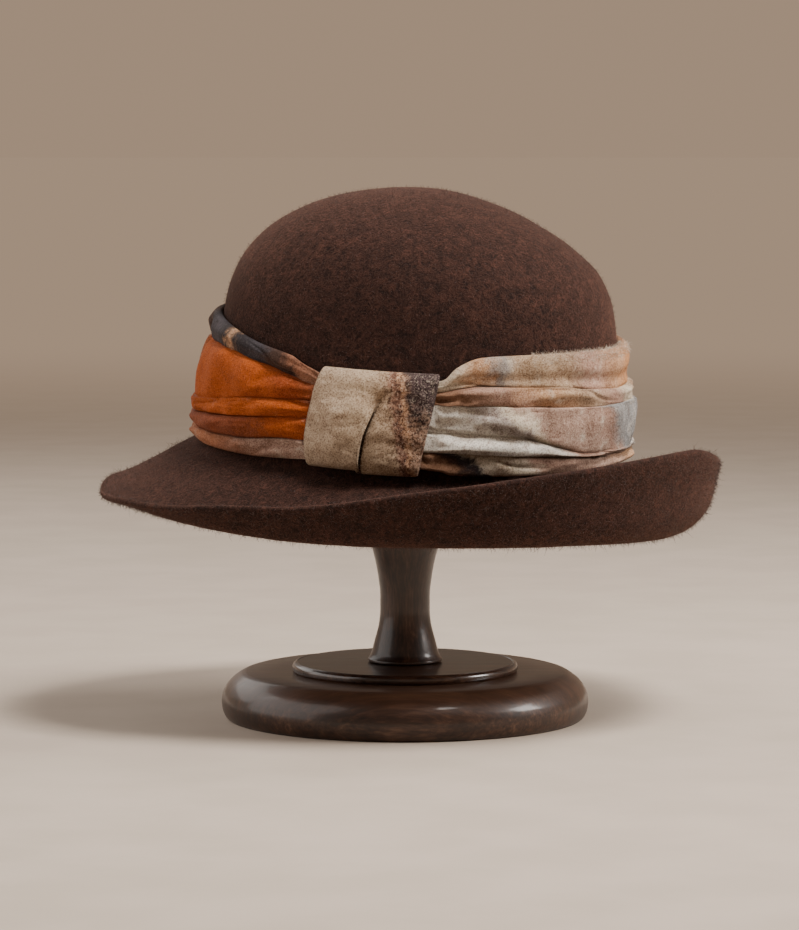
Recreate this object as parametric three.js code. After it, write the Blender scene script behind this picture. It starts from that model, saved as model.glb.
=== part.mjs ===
// A felt cloche hat with a gathered scarf band, on a turned wooden display stand.
// Millimetres, +Z up. The origin is the middle of the underside of the stand's base.
// The hat's front points along -X and the scarf's wrap is on the -Y side.
import * as THREE from 'three';
import { mergeVertices } from 'three/addons/utils/BufferGeometryUtils.js';

// Hat sizes. The crown's foot is an oval where the crown meets the brim.
const CROWN_HALF_LENGTH = 103; // outside, front to back
const CROWN_HALF_WIDTH = 83; // outside, side to side
const CROWN_HEIGHT = 134;
const FELT = 2.6; // felt thickness
const BRIM_WIDTH = 80; // measured along the felt, scaled by the brim table
const WALL_ANGLE = 80; // degrees below level at which the crown runs into the brim
const BREAK_SHARE = 0.12; // share of the brim's width taken by the bend out of the crown
const HAT_PITCH = 2.7; // degrees, front up
const HAT_ROLL = 5.5; // degrees, scarf's wrap side down
const HAT_FORWARD = -3.8; // how far the crown's middle is in front of the stand's axis

// Scarf sizes
const BAND_FOOT = 4.5; // above the crown's foot
const BAND_WIDTH = 62; // height of the gathered band
const FOLD_DEPTH = 11; // how far the fullest fold stands off the felt
const CLEARANCE = 0.4; // air between the hat's layers
const CLOTH = 1.2; // thickness of the wrap's folded cloth
const WRAP_SLACK = 2.5; // room in the wrap above and below the band
const WRAP_LAP = 1.1; // step where one half of the wrap laps over the other
const WRAP_DROP = 1.4; // how much lower the lapped half ends

// Stand sizes
const BASE_RADIUS = 92.9;
const RIM_HEIGHT = 23.1; // the base's outer part
const NOSE_DEPTH = 12.4; // how far in the base's rounded edge runs
const BEAD_RADIUS = 57.1; // the raised middle with its rounded bead
const BEAD_HEIGHT = 4.6;
const TENON_RADIUS = 9;
const MORTISE_DEPTH = 15;
const JOINT_AIR = 0.35; // air round and under the tenons
const NECK_RADIUS = 12.6; // the stem's waist
const STEM_HEIGHT = 191.3; // between the base's top and the head's underside
const HEAD_RADIUS = 46;
const HEAD_HEIGHT = 42.8;
const SEAT_AIR = 0.35; // air between the head and the crown

const TURN_STEPS = 64;

// Crown outline. rise is a share of the crown's height, the others are shares of its half sizes.
const CROWN = [
  { rise: 1.0, front: 0, back: 0, side: 0 },
  { rise: 0.96, front: 0.41, back: 0.31, side: 0.37 },
  { rise: 0.88, front: 0.655, back: 0.556, side: 0.62 },
  { rise: 0.8, front: 0.788, back: 0.731, side: 0.77 },
  { rise: 0.7, front: 0.882, back: 0.872, side: 0.88 },
  { rise: 0.58, front: 0.935, back: 0.942, side: 0.94 },
  { rise: 0.4, front: 0.965, back: 0.975, side: 0.97 },
  { rise: 0.2, front: 0.985, back: 0.99, side: 0.985 },
  { rise: 0, front: 1, back: 1, side: 1 },
];

// Brim sections. turn is in degrees from the front, past the wrap, to the back and round.
// root is a share of the crown's height and width of the brim's width. slope is in degrees
// below level, curlFrom and curlTo are shares of the section, and lip is in degrees above level.
const BRIM = [
  { turn: 0, root: 0.083, width: 0.806, slope: 31.4, curlFrom: 0.7, curlTo: 1.0, lip: -21 },
  { turn: 30, root: 0.06, width: 0.816, slope: 33.4, curlFrom: 0.68, curlTo: 0.98, lip: 36 },
  { turn: 60, root: 0.033, width: 0.832, slope: 33.6, curlFrom: 0.67, curlTo: 0.82, lip: 64 },
  { turn: 90, root: 0.033, width: 1.017, slope: 30.9, curlFrom: 0.49, curlTo: 0.79, lip: 73 },
  { turn: 120, root: 0.025, width: 1.15, slope: 28.2, curlFrom: 0.4, curlTo: 0.745, lip: 78 },
  { turn: 150, root: 0.012, width: 1.209, slope: 31.3, curlFrom: 0.356, curlTo: 0.72, lip: 84 },
  { turn: 180, root: 0.018, width: 0.966, slope: 35.5, curlFrom: 0.4, curlTo: 0.88, lip: 84 },
  { turn: 225, root: 0.015, width: 0.968, slope: 32.4, curlFrom: 0.554, curlTo: 0.95, lip: 37 },
  { turn: 270, root: 0.031, width: 0.92, slope: 29.8, curlFrom: 0.64, curlTo: 0.99, lip: -2.5 },
  { turn: 315, root: 0.056, width: 0.858, slope: 30.9, curlFrom: 0.71, curlTo: 1.0, lip: -23 },
];

// The band's edges and the creases between its five folds, as shares of the band's width.
const CREASES = [
  { turn: 0, foot: 0.02, crease4: 0.08, crease3: 0.2, crease2: 0.3, crease1: 0.82, top: 1.04 },
  { turn: 20, foot: 0.0, crease4: 0.07, crease3: 0.22, crease2: 0.34, crease1: 0.82, top: 0.99 },
  { turn: 40, foot: 0.01, crease4: 0.09, crease3: 0.28, crease2: 0.43, crease1: 0.76, top: 0.9 },
  { turn: 52, foot: 0.03, crease4: 0.13, crease3: 0.32, crease2: 0.46, crease1: 0.7, top: 0.85 },
  { turn: 60, foot: 0.05, crease4: 0.15, crease3: 0.335, crease2: 0.475, crease1: 0.65, top: 0.77 },
  { turn: 64, foot: 0.055, crease4: 0.15, crease3: 0.33, crease2: 0.48, crease1: 0.64, top: 0.735 },
  { turn: 78, foot: 0.062, crease4: 0.15, crease3: 0.32, crease2: 0.5, crease1: 0.64, top: 0.735 },
  { turn: 94, foot: 0.04, crease4: 0.15, crease3: 0.3, crease2: 0.54, crease1: 0.66, top: 0.735 },
  { turn: 97, foot: 0.03, crease4: 0.15, crease3: 0.3, crease2: 0.54, crease1: 0.665, top: 0.755 },
  { turn: 100, foot: 0.005, crease4: 0.15, crease3: 0.3, crease2: 0.54, crease1: 0.72, top: 0.84 },
  { turn: 108, foot: 0.0, crease4: 0.146, crease3: 0.3, crease2: 0.545, crease1: 0.79, top: 0.93 },
  { turn: 132, foot: 0.0, crease4: 0.12, crease3: 0.275, crease2: 0.53, crease1: 0.68, top: 0.95 },
  { turn: 168, foot: 0.0, crease4: 0.09, crease3: 0.23, crease2: 0.5, crease1: 0.61, top: 0.93 },
  { turn: 270, foot: 0.0, crease4: 0.08, crease3: 0.22, crease2: 0.42, crease1: 0.73, top: 0.97 },
];

// How far each fold stands off the felt, as shares of the fold depth, from the top fold down.
const FOLDS = [
  { turn: 0, fold1: 0.56, fold2: 0.8, fold3: 0.92, fold4: 1.0, fold5: 0.84 },
  { turn: 40, fold1: 0.58, fold2: 0.78, fold3: 0.86, fold4: 0.84, fold5: 0.6 },
  { turn: 60, fold1: 0.46, fold2: 0.52, fold3: 0.52, fold4: 0.5, fold5: 0.42 },
  { turn: 78, fold1: 0.52, fold2: 0.66, fold3: 0.68, fold4: 0.62, fold5: 0.46 },
  { turn: 94, fold1: 0.46, fold2: 0.5, fold3: 0.52, fold4: 0.5, fold5: 0.44 },
  { turn: 112, fold1: 0.6, fold2: 0.75, fold3: 0.88, fold4: 0.75, fold5: 0.6 },
  { turn: 168, fold1: 0.58, fold2: 0.86, fold3: 1.0, fold4: 0.92, fold5: 0.94 },
  { turn: 270, fold1: 0.58, fold2: 0.8, fold3: 0.95, fold4: 0.85, fold5: 0.7 },
];

// Where each fold is fullest, as a share of its width from its upper crease
const CRESTS = [0.48, 0.66, 0.48, 0.48, 0.48];

// The wrap's side edges in degrees from the front, by shares of the wrap's height
const WRAP_EDGES = [
  { rise: -0.1, left: 60.6, right: 90.6 },
  { rise: 0.33, left: 59.8, right: 92.6 },
  { rise: 0.68, left: 61.0, right: 94.4 },
  { rise: 1.1, left: 63.6, right: 96.3 },
];
const LAP_LINE = { top: 0.66, foot: 0.42 }; // where one half laps over, as shares of the width

// The base's rounded edge, as shares of its depth and of the rim's height
const NOSE = [
  [0.24, 0], [0.13, 0.06], [0.024, 0.217], [0, 0.368], [0.056, 0.541], [0.177, 0.675],
  [0.37, 0.805], [0.58, 0.892], [0.82, 0.97], [1, 1],
];
// The stem between its ends, as shares of its height and of the waist's radius
const STEM = [
  [0.008, 1.49], [0.013, 1.44], [0.022, 1.365], [0.04, 1.29], [0.059, 1.214], [0.08, 1.127],
  [0.1, 1.056], [0.137, 1], [0.179, 1], [0.216, 1.056], [0.258, 1.16], [0.3, 1.31], [0.357, 1.49],
  [0.409, 1.62], [0.446, 1.6], [0.493, 1.38], [0.556, 1.16], [0.65, 1], [0.796, 0.905],
  [0.922, 0.95], [0.974, 1.24],
];
// The head from its widest to its top, as shares of its radius and height
const HEAD = [
  [0.62, 0], [0.86, 0.06], [0.97, 0.2], [1, 0.36], [0.965, 0.56], [0.86, 0.75], [0.68, 0.885],
  [0.42, 0.968], [0.18, 0.995], [0, 1],
];

const RAD = Math.PI / 180;
const clamp = (x, low, high) => Math.min(high, Math.max(low, x));
const mix = (a, b, t) => a + (b - a) * t;
const ease = (t) => { const c = clamp(t, 0, 1); return c * c * (3 - 2 * c); };

// Smooth monotone curve through a short table
function curveThrough(xs, ys, x) {
  const h = [], d = [];
  for (let i = 0; i < xs.length - 1; i++) {
    h.push(xs[i + 1] - xs[i]);
    d.push((ys[i + 1] - ys[i]) / h[i]);
  }
  const slope = (i) => {
    if (i === 0) return d[0];
    if (i === xs.length - 1) return d[i - 1];
    if (d[i - 1] * d[i] <= 0) return 0;
    const w1 = 2 * h[i] + h[i - 1], w2 = h[i] + 2 * h[i - 1];
    return (w1 + w2) / (w1 / d[i - 1] + w2 / d[i]);
  };
  let i = 0;
  while (i < xs.length - 2 && x > xs[i + 1]) i++;
  const u = (x - xs[i]) / h[i], v = 1 - u;
  return (1 + 2 * u) * v * v * ys[i] + u * v * v * h[i] * slope(i)
    + u * u * (3 - 2 * u) * ys[i + 1] - u * u * v * h[i] * slope(i + 1);
}

// A row of a table given round the turn, at any angle from the front
function around(table, column, turn) {
  const t = ((turn % 360) + 360) % 360;
  const xs = [], ys = [];
  for (const lap of [-360, 0, 360]) {
    for (const row of table) {
      xs.push(row.turn + lap);
      ys.push(row[column]);
    }
  }
  return curveThrough(xs, ys, t);
}

// Crown outline. depth is 0 at the apex and 1 at the foot, and depth squared is the drop's share.
const crownDepths = CROWN.map((row) => Math.sqrt(1 - row.rise));
const depthAt = (rise) => Math.sqrt(clamp(1 - rise / CROWN_HEIGHT, 0, 1));
function crownPoint(turn, depth) {
  const c = -Math.cos(turn * RAD), s = -Math.sin(turn * RAD);
  const reach = (column) => curveThrough(crownDepths, CROWN.map((row) => row[column]), depth);
  const r = c * c * reach(c < 0 ? 'front' : 'back') + s * s * reach('side');
  return new THREE.Vector3(CROWN_HALF_LENGTH * r * c, CROWN_HALF_WIDTH * r * s,
    CROWN_HEIGHT * (1 - depth * depth));
}

// Level direction straight out of the crown's oval
function outward(turn) {
  return new THREE.Vector3(-Math.cos(turn * RAD) / CROWN_HALF_LENGTH,
    -Math.sin(turn * RAD) / CROWN_HALF_WIDTH, 0).normalize();
}

// The brim's section as points out from and down from its root
const BRIM_FINE = 120;
function brimSection(turn) {
  const at = (column) => around(BRIM, column, turn);
  const width = BRIM_WIDTH * at('width'), slope = at('slope'), lip = at('lip');
  const from = at('curlFrom'), to = at('curlTo');
  const path = [{ out: 0, up: 0 }];
  for (let i = 0; i < BRIM_FINE; i++) {
    const s = (i + 0.5) / BRIM_FINE;
    const angle = RAD * (-WALL_ANGLE + (WALL_ANGLE - slope) * ease(s / BREAK_SHARE)
      + (slope + lip) * ease((s - from) / (to - from)));
    const last = path[path.length - 1];
    path.push({
      out: last.out + Math.cos(angle) * width / BRIM_FINE,
      up: last.up + Math.sin(angle) * width / BRIM_FINE,
    });
  }
  return path;
}

// How far out of the crown's wall the felt's upper face is at a height, beside the bend
function flare(turn, rise) {
  const root = CROWN_HEIGHT * around(BRIM, 'root', turn);
  if (rise >= root) return 0;
  const path = brimSection(turn);
  for (let i = 1; i < path.length; i++) {
    if (root + path[i].up <= rise) return path[i].out;
  }
  return path[path.length - 1].out;
}

// A point off the crown's wall
function offWall(turn, rise, off) {
  const p = crownPoint(turn, depthAt(rise)).addScaledVector(outward(turn), off);
  p.z = rise;
  return p;
}

// Closed geometry through rings of points. A ring of one point is a pole.
function skin(rings, closed) {
  const points = [], first = [], faces = [];
  for (const ring of rings) {
    first.push(points.length);
    points.push(...ring);
  }
  const last = closed ? rings.length : rings.length - 1;
  for (let i = 0; i < last; i++) {
    const j = (i + 1) % rings.length, a = rings[i].length, b = rings[j].length;
    for (let k = 0; k < Math.max(a, b); k++) {
      const n = (k + 1) % Math.max(a, b);
      const p = first[i] + (a > 1 ? k : 0), q = first[i] + (a > 1 ? n : 0);
      const r = first[j] + (b > 1 ? k : 0), s = first[j] + (b > 1 ? n : 0);
      if (a > 1) faces.push(p, r, q);
      if (b > 1) faces.push(q, r, s);
    }
  }
  const geometry = new THREE.BufferGeometry();
  geometry.setAttribute('position', new THREE.Float32BufferAttribute(
    points.flatMap((p) => [p.x, p.y, p.z]), 3));
  geometry.setIndex(faces);
  let volume = 0;
  for (let i = 0; i < faces.length; i += 3) {
    const [a, b, c] = [points[faces[i]], points[faces[i + 1]], points[faces[i + 2]]];
    volume += new THREE.Vector3().crossVectors(b, c).dot(a);
  }
  if (volume < 0) geometry.setIndex(faces.reverse());
  geometry.computeVertexNormals();
  return geometry;
}

// The felt hood: crown and brim in one shell
const CROWN_RISES = [0.997, 0.987, 0.967, 0.935, 0.89, 0.83, 0.75, 0.64, 0.49, 0.33, 0.16];
const BRIM_SHARES = [0, 0.03, 0.06, 0.09, 0.12, 0.21, 0.32, 0.42, 0.5, 0.58, 0.66, 0.74, 0.82, 0.91, 1];
const turns = Array.from({ length: TURN_STEPS }, (_, i) => (i * 360) / TURN_STEPS);
function feltRows() {
  const rows = CROWN_RISES.map((rise) => turns.map((t) => crownPoint(t, Math.sqrt(1 - rise))));
  const roots = turns.map((t) => crownPoint(t, Math.sqrt(1 - around(BRIM, 'root', t))));
  const sections = turns.map(brimSection);
  for (const share of BRIM_SHARES) {
    rows.push(turns.map((t, i) => {
      const at = sections[i][Math.round(share * BRIM_FINE)];
      const p = roots[i].clone().addScaledVector(outward(t), at.out);
      p.z += at.up;
      return p;
    }));
  }
  return rows;
}
function rowNormals(rows) {
  return rows.map((row, i) => row.map((p, k) => {
    const up = rows[Math.max(0, i - 1)][k], down = rows[Math.min(rows.length - 1, i + 1)][k];
    const one = row[(k + 1) % row.length], other = row[(k + row.length - 1) % row.length];
    const n = new THREE.Vector3().crossVectors(
      down.clone().sub(up), one.clone().sub(other)).normalize();
    return n;
  }));
}
const upper = feltRows();
const normals = rowNormals(upper);
const side = Math.sign(normals[0][0].z);
const lower = upper.map((row, i) => row.map(
  (p, k) => p.clone().addScaledVector(normals[i][k], -FELT * side)));
const edgeRow = upper[upper.length - 1].map((p, k) => {
  const before = upper[upper.length - 2][k];
  const out = p.clone().sub(before).normalize();
  return p.clone().add(lower[lower.length - 1][k]).multiplyScalar(0.5).addScaledVector(out, FELT * 0.35);
});
const apex = new THREE.Vector3(0, 0, CROWN_HEIGHT);
const hood = skin([
  [apex], ...upper, edgeRow, ...lower.slice().reverse(), [apex.clone().setZ(CROWN_HEIGHT - FELT)],
], false);

// The scarf band: five gathered folds in one ring, thinned behind the wrap for its back layer
const UNDER_WRAP = { from: WRAP_EDGES[1].left - 2.8, to: WRAP_EDGES[3].right + 1.7, blend: 5 };
function bandInside(turn, rise) {
  const under = ease((turn - UNDER_WRAP.from + UNDER_WRAP.blend) / UNDER_WRAP.blend)
    * ease((UNDER_WRAP.to + UNDER_WRAP.blend - turn) / UNDER_WRAP.blend);
  return CLEARANCE + flare(turn, rise - 0.6) + under * (CLOTH + 1.3 * CLEARANCE);
}
function bandRing(turn) {
  const levels = ['top', 'crease1', 'crease2', 'crease3', 'crease4', 'foot']
    .map((name) => BAND_FOOT + BAND_WIDTH * around(CREASES, name, turn));
  const depth = [1, 2, 3, 4, 5].map((i) => FOLD_DEPTH * around(FOLDS, `fold${i}`, turn));
  const creaseDepth = (i) => 0.56 * Math.min(depth[i - 1], depth[i]);
  const ring = [];
  const put = (rise, off) => ring.push(offWall(turn, rise, Math.max(off, bandInside(turn, rise) + 0.5)));
  for (let i = 0; i < 5; i++) {
    const high = levels[i], low = levels[i + 1];
    const from = i === 0 ? 0.35 * depth[0] : creaseDepth(i);
    const to = i === 4 ? 0.72 * depth[4] : creaseDepth(i + 1);
    const crest = CRESTS[i];
    put(high, from);
    put(mix(high, low, crest * 0.35), mix(from, depth[i], 1.15 - 0.77 * crest));
    put(mix(high, low, crest), depth[i]);
    put(mix(high, low, 1 - (1 - crest) * 0.35), mix(to, depth[i], 0.76));
  }
  put(levels[5], 0.72 * depth[4]);
  const top = levels[0] - 1.2, foot = levels[5] + 0.8;
  for (const share of [0, 0.25, 0.5, 0.75, 1]) {
    const rise = mix(foot, top, share);
    ring.push(offWall(turn, rise, bandInside(turn, rise)));
  }
  return ring;
}
const band = skin(turns.map(bandRing), true);

// The wrap: a closed loop of folded cloth over the band and behind it
const WRAP_COLUMNS = 9;
const FACE_STEPS = 12;
const bandEdge = (name) => BAND_FOOT + BAND_WIDTH * around(CREASES, name, 78);
const wrapTop = bandEdge('top') + WRAP_SLACK + CLOTH / 2;
const wrapFoot = bandEdge('foot') - WRAP_SLACK - CLOTH / 2;
function wrapEdges(share) {
  const xs = WRAP_EDGES.map((row) => row.rise);
  return ['left', 'right'].map((name) => curveThrough(xs, WRAP_EDGES.map((row) => row[name]), share));
}
function wrapColumn(k, high) {
  const line = mix(LAP_LINE.foot, LAP_LINE.top, high ** 1.6);
  return [0, line * 0.3, line * 0.68, line - 0.035, line + 0.035,
    mix(line, 1, 0.32), mix(line, 1, 0.62), mix(line, 1, 0.86), 1][k];
}
function wrapPoint(k, step, shift) {
  const back = 1.3 * CLEARANCE + CLOTH / 2;
  const face = step <= FACE_STEPS;
  const high = face ? 0.5 - 0.5 * Math.cos((Math.PI * step) / FACE_STEPS)
    : 1 - (step - FACE_STEPS) / 6;
  const v = wrapColumn(k, high);
  const lapped = k >= 4;
  const rise = mix(wrapFoot - (lapped ? WRAP_DROP : 0), wrapTop, high);
  const [left, right] = wrapEdges(high);
  const turn = mix(left, right, v);
  const felt = flare(turn, rise - CLOTH - 2 * CLEARANCE);
  if (!face) return offWall(turn, rise, back + felt + shift);
  const round = Math.sqrt(Math.max(0, 1 - Math.abs(2 * high - 1) ** 6));
  const lap = WRAP_LAP * (lapped ? 0 : 1) * ease((0.95 - high) / 0.3) * ease(v / 0.25);
  const folds = FOLD_DEPTH * around(FOLDS, 'fold3', turn) + 1.3 * CLEARANCE + CLOTH / 2;
  const off = back + (folds + lap - back) * round;
  const end = Math.abs(2 * high - 1) ** 8;
  return offWall(turn, rise + shift * end * Math.sign(2 * high - 1),
    off + shift * Math.sqrt(1 - end * end) + (1 - round) * felt);
}
const wrapRings = [];
for (let step = 0; step < FACE_STEPS + 6; step++) {
  const faceSide = step <= FACE_STEPS ? 1 : -1;
  const ring = [];
  for (let k = 0; k < WRAP_COLUMNS; k++) ring.push(wrapPoint(k, step, faceSide * CLOTH / 2));
  for (let k = WRAP_COLUMNS - 1; k >= 0; k--) ring.push(wrapPoint(k, step, -faceSide * CLOTH / 2));
  wrapRings.push(ring);
}
const wrap = skin(wrapRings, true);

// Turned pieces, as [radius, height] from the axis back to the axis
function turned(profile, steps) {
  const lathe = new THREE.LatheGeometry(profile.map(([r, h]) => new THREE.Vector2(r, h)), steps);
  lathe.rotateX(Math.PI / 2);
  for (const name of ['uv', 'normal']) lathe.deleteAttribute(name);
  const merged = mergeVertices(lathe, 1e-4);
  merged.computeVertexNormals();
  return merged;
}
const mortise = TENON_RADIUS + JOINT_AIR;
const baseTop = RIM_HEIGHT + BEAD_HEIGHT;
const base = turned([
  [0, 0], ...NOSE.map(([inward, up]) => [BASE_RADIUS - inward * NOSE_DEPTH, up * RIM_HEIGHT]),
  ...[[0.2, 0], [0.02, 0.24], [0, 0.52], [0.13, 0.83], [0.37, 0.96], [0.5, 0.83], [0.65, 1]]
    .map(([inward, up]) => [BEAD_RADIUS - inward * BEAD_HEIGHT, RIM_HEIGHT + up * BEAD_HEIGHT]),
  [mortise, baseTop], [mortise, baseTop - MORTISE_DEPTH], [0, baseTop - MORTISE_DEPTH],
], 48);
const stemFoot = baseTop + JOINT_AIR;
const headFoot = baseTop + STEM_HEIGHT;
const stem = turned([
  [0, stemFoot - MORTISE_DEPTH], [TENON_RADIUS, stemFoot - MORTISE_DEPTH],
  [TENON_RADIUS, stemFoot], [NECK_RADIUS * 1.44, stemFoot],
  ...STEM.map(([up, r]) => [NECK_RADIUS * r, baseTop + STEM_HEIGHT * up]),
  [NECK_RADIUS * 1.24, headFoot - JOINT_AIR], [TENON_RADIUS, headFoot - JOINT_AIR],
  [TENON_RADIUS, headFoot + MORTISE_DEPTH - JOINT_AIR], [0, headFoot + MORTISE_DEPTH - JOINT_AIR],
], 24);
const dome = HEAD.map(([r, up]) => [HEAD_RADIUS * r, headFoot + HEAD_HEIGHT * up]);
const head = turned([
  [0, headFoot + MORTISE_DEPTH], [mortise, headFoot + MORTISE_DEPTH], [mortise, headFoot], ...dome,
], 32);

// The hat's height, from where the inside of the crown comes down on the head
const hatTurn = new THREE.Euler(HAT_ROLL * RAD, HAT_PITCH * RAD, 0);
function hatLift() {
  const upperDome = dome.slice(3);
  const radii = upperDome.map(([r]) => -r), heights = upperDome.map(([, h]) => h);
  const domeAt = (r) => curveThrough(radii, heights, -r);
  let lift = 0;
  const inside = [];
  const rows = [turns.map(() => new THREE.Vector3(0, 0, CROWN_HEIGHT - FELT)), ...lower.slice(0, 6)];
  for (let i = 0; i < rows.length - 1; i++) {
    for (let k = 0; k < TURN_STEPS; k++) {
      for (const t of [0, 0.25, 0.5, 0.75, 1]) {
        inside.push(rows[i][k].clone().lerp(rows[i + 1][k], t));
        inside.push(rows[i][k].clone().lerp(rows[i + 1][(k + 1) % TURN_STEPS], t));
      }
    }
  }
  for (const p of inside) {
    const w = p.clone().applyEuler(hatTurn).add(new THREE.Vector3(-HAT_FORWARD, 0, 0));
    const r = Math.hypot(w.x, w.y);
    if (r < HEAD_RADIUS) lift = Math.max(lift, domeAt(r) + SEAT_AIR - w.z);
  }
  return lift;
}

const look = (color, roughness) => new THREE.MeshStandardMaterial({ color, roughness, metalness: 0 });
const mesh = (name, geometry, color, roughness) => {
  const m = new THREE.Mesh(geometry, look(color, roughness));
  m.name = name;
  return m;
};
const hat = new THREE.Group();
hat.add(
  mesh('felt_hood', hood, 0x4a2e27, 0.95),
  mesh('scarf_band', band, 0xa88f7c, 0.75),
  mesh('band_knot', wrap, 0x9b826d, 0.75),
);
hat.setRotationFromEuler(hatTurn);
hat.position.set(-HAT_FORWARD, 0, hatLift());

const group = new THREE.Group();
group.add(
  mesh('stand_base', base, 0x3a2721, 0.4),
  mesh('stand_stem', stem, 0x2d1c11, 0.35),
  mesh('stand_head', head, 0x3a2721, 0.5),
  hat,
);

export default group;
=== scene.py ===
# %% [markdown]
# # A felt cloche hat on a turned wooden stand
# The real object is a soft brown hat with a gathered scarf round its crown, standing on a
# shop's display stand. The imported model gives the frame: every piece below is made in metres
# in the same place as its solid, and then stands in for it.

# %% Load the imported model
import math

import bpy
import numpy as np
from mathutils import Matrix, Vector, noise


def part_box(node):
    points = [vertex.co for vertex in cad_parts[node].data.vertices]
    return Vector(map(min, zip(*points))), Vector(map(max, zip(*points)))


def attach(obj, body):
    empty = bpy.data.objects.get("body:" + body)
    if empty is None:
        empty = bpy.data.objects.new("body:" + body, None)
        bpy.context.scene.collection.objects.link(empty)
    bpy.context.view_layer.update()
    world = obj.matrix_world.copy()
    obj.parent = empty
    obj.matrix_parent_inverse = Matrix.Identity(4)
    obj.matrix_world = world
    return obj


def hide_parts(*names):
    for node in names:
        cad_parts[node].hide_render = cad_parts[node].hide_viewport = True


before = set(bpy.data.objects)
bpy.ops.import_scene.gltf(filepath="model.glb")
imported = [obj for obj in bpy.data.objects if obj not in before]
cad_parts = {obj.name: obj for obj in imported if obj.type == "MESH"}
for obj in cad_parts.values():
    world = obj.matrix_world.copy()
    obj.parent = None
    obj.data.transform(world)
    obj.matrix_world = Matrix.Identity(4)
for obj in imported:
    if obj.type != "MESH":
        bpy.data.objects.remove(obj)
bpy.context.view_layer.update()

MM = 0.001

# %% [markdown]
# ## Sizes
# The hat is an oval with a different section at every turn, so its sizes are short tables
# of shares. Turn is in degrees from the front of the hat, past the wrap, to the back and
# round again. These are the same values as in the solid model, with more rows where the
# cloth asks for them.

# %% Sizes of the hat in millimetres
CROWN_HALF_LENGTH, CROWN_HALF_WIDTH, CROWN_HEIGHT = 103.0, 83.0, 134.0
FELT = 2.6
BRIM_WIDTH, WALL_ANGLE, BREAK_SHARE = 80.0, 80.0, 0.12
HAT_PITCH, HAT_ROLL, HAT_FORWARD = 2.7, 5.5, -3.8
BAND_FOOT, BAND_WIDTH, FOLD_DEPTH = 4.5, 62.0, 11.0
CLEARANCE, WRAP_CLOTH, WRAP_SLACK, WRAP_DROP = 0.4, 1.2, 2.5, 1.4
print("crown", 2 * CROWN_HALF_LENGTH, "by", 2 * CROWN_HALF_WIDTH, "mm")

# %% Sections of the crown and the brim
CROWN = np.array([  # rise, front, back, side
    (1.00, 0.000, 0.000, 0.000), (0.96, 0.410, 0.310, 0.370), (0.88, 0.655, 0.556, 0.620),
    (0.80, 0.788, 0.731, 0.770), (0.70, 0.882, 0.872, 0.880), (0.58, 0.935, 0.942, 0.940),
    (0.40, 0.965, 0.975, 0.970), (0.20, 0.985, 0.990, 0.985), (0.00, 1.000, 1.000, 1.000)])
BRIM = np.array([  # turn, root, width, slope, curl from, curl to, lip
    (0, 0.083, 0.806, 31.4, 0.700, 1.000, -21.0), (30, 0.060, 0.816, 33.4, 0.680, 0.980, 36.0),
    (60, 0.033, 0.832, 33.6, 0.670, 0.820, 64.0), (90, 0.033, 1.017, 30.9, 0.490, 0.790, 73.0),
    (120, 0.025, 1.150, 28.2, 0.400, 0.745, 78.0), (150, 0.012, 1.209, 31.3, 0.356, 0.720, 84.0),
    (180, 0.018, 0.966, 35.5, 0.400, 0.880, 84.0), (225, 0.015, 0.968, 32.4, 0.554, 0.950, 37.0),
    (270, 0.031, 0.920, 29.8, 0.640, 0.990, -2.5), (315, 0.056, 0.858, 30.9, 0.710, 1.000, -23.0)])
print("crown:", len(CROWN), "rows, brim:", len(BRIM), "sections")

# %% [markdown]
# ## Curves through short tables
# A smooth curve that never overshoots its table keeps a dent a dent. The same helper reads
# the crown's outline, the brim's sections and the scarf's folds, so all of them stay in step.

# %% Table helpers
def curve_through(xs, ys, x):
    """Smooth curve through points that never rises above or falls below its neighbours."""
    xs, ys, x = np.asarray(xs, float), np.asarray(ys, float), np.asarray(x, float)
    h = np.diff(xs)
    d = np.diff(ys) / h
    slope = np.concatenate([d[:1], np.zeros(len(xs) - 2), d[-1:]])
    w1, w2 = 2 * h[1:] + h[:-1], h[1:] + 2 * h[:-1]
    same = d[:-1] * d[1:] > 0
    before, after = np.where(same, d[:-1], 1.0), np.where(same, d[1:], 1.0)
    slope[1:-1] = np.where(same, (w1 + w2) / (w1 / before + w2 / after), 0.0)
    i = np.clip(np.searchsorted(xs, x) - 1, 0, len(h) - 1)
    u = (x - xs[i]) / h[i]
    v = 1 - u
    return ((1 + 2 * u) * v * v * ys[i] + u * v * v * h[i] * slope[i]
            + u * u * (3 - 2 * u) * ys[i + 1] - u * u * v * h[i] * slope[i + 1])


def around(table, column, turn):
    """A column of a table whose first column is the turn, at any turn."""
    xs = np.concatenate([table[:, 0] + lap for lap in (-360, 0, 360)])
    return curve_through(xs, np.tile(table[:, column], 3), np.mod(turn, 360))


def ease(t):
    """Smooth step from 0 to 1."""
    t = np.clip(t, 0, 1)
    return t * t * (3 - 2 * t)


def mix(a, b, t):
    """A value between a and b."""
    return a + (b - a) * t


print("brim's width at the back:", round(float(BRIM_WIDTH * around(BRIM, 2, 180)), 1), "mm")

# %% Shape of the crown
def crown_point(turn, depth):
    """A point on the outside of the crown. Depth is 0 at the top and 1 at the foot."""
    turn, depth = np.broadcast_arrays(np.radians(turn), depth)
    c, s = -np.cos(turn), -np.sin(turn)
    depths = np.sqrt(1 - CROWN[:, 0])
    front, back, side = (curve_through(depths, CROWN[:, k], depth) for k in (1, 2, 3))
    r = c * c * np.where(c < 0, front, back) + s * s * side
    return np.stack([CROWN_HALF_LENGTH * r * c, CROWN_HALF_WIDTH * r * s,
                     CROWN_HEIGHT * (1 - depth ** 2)], -1)


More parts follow.
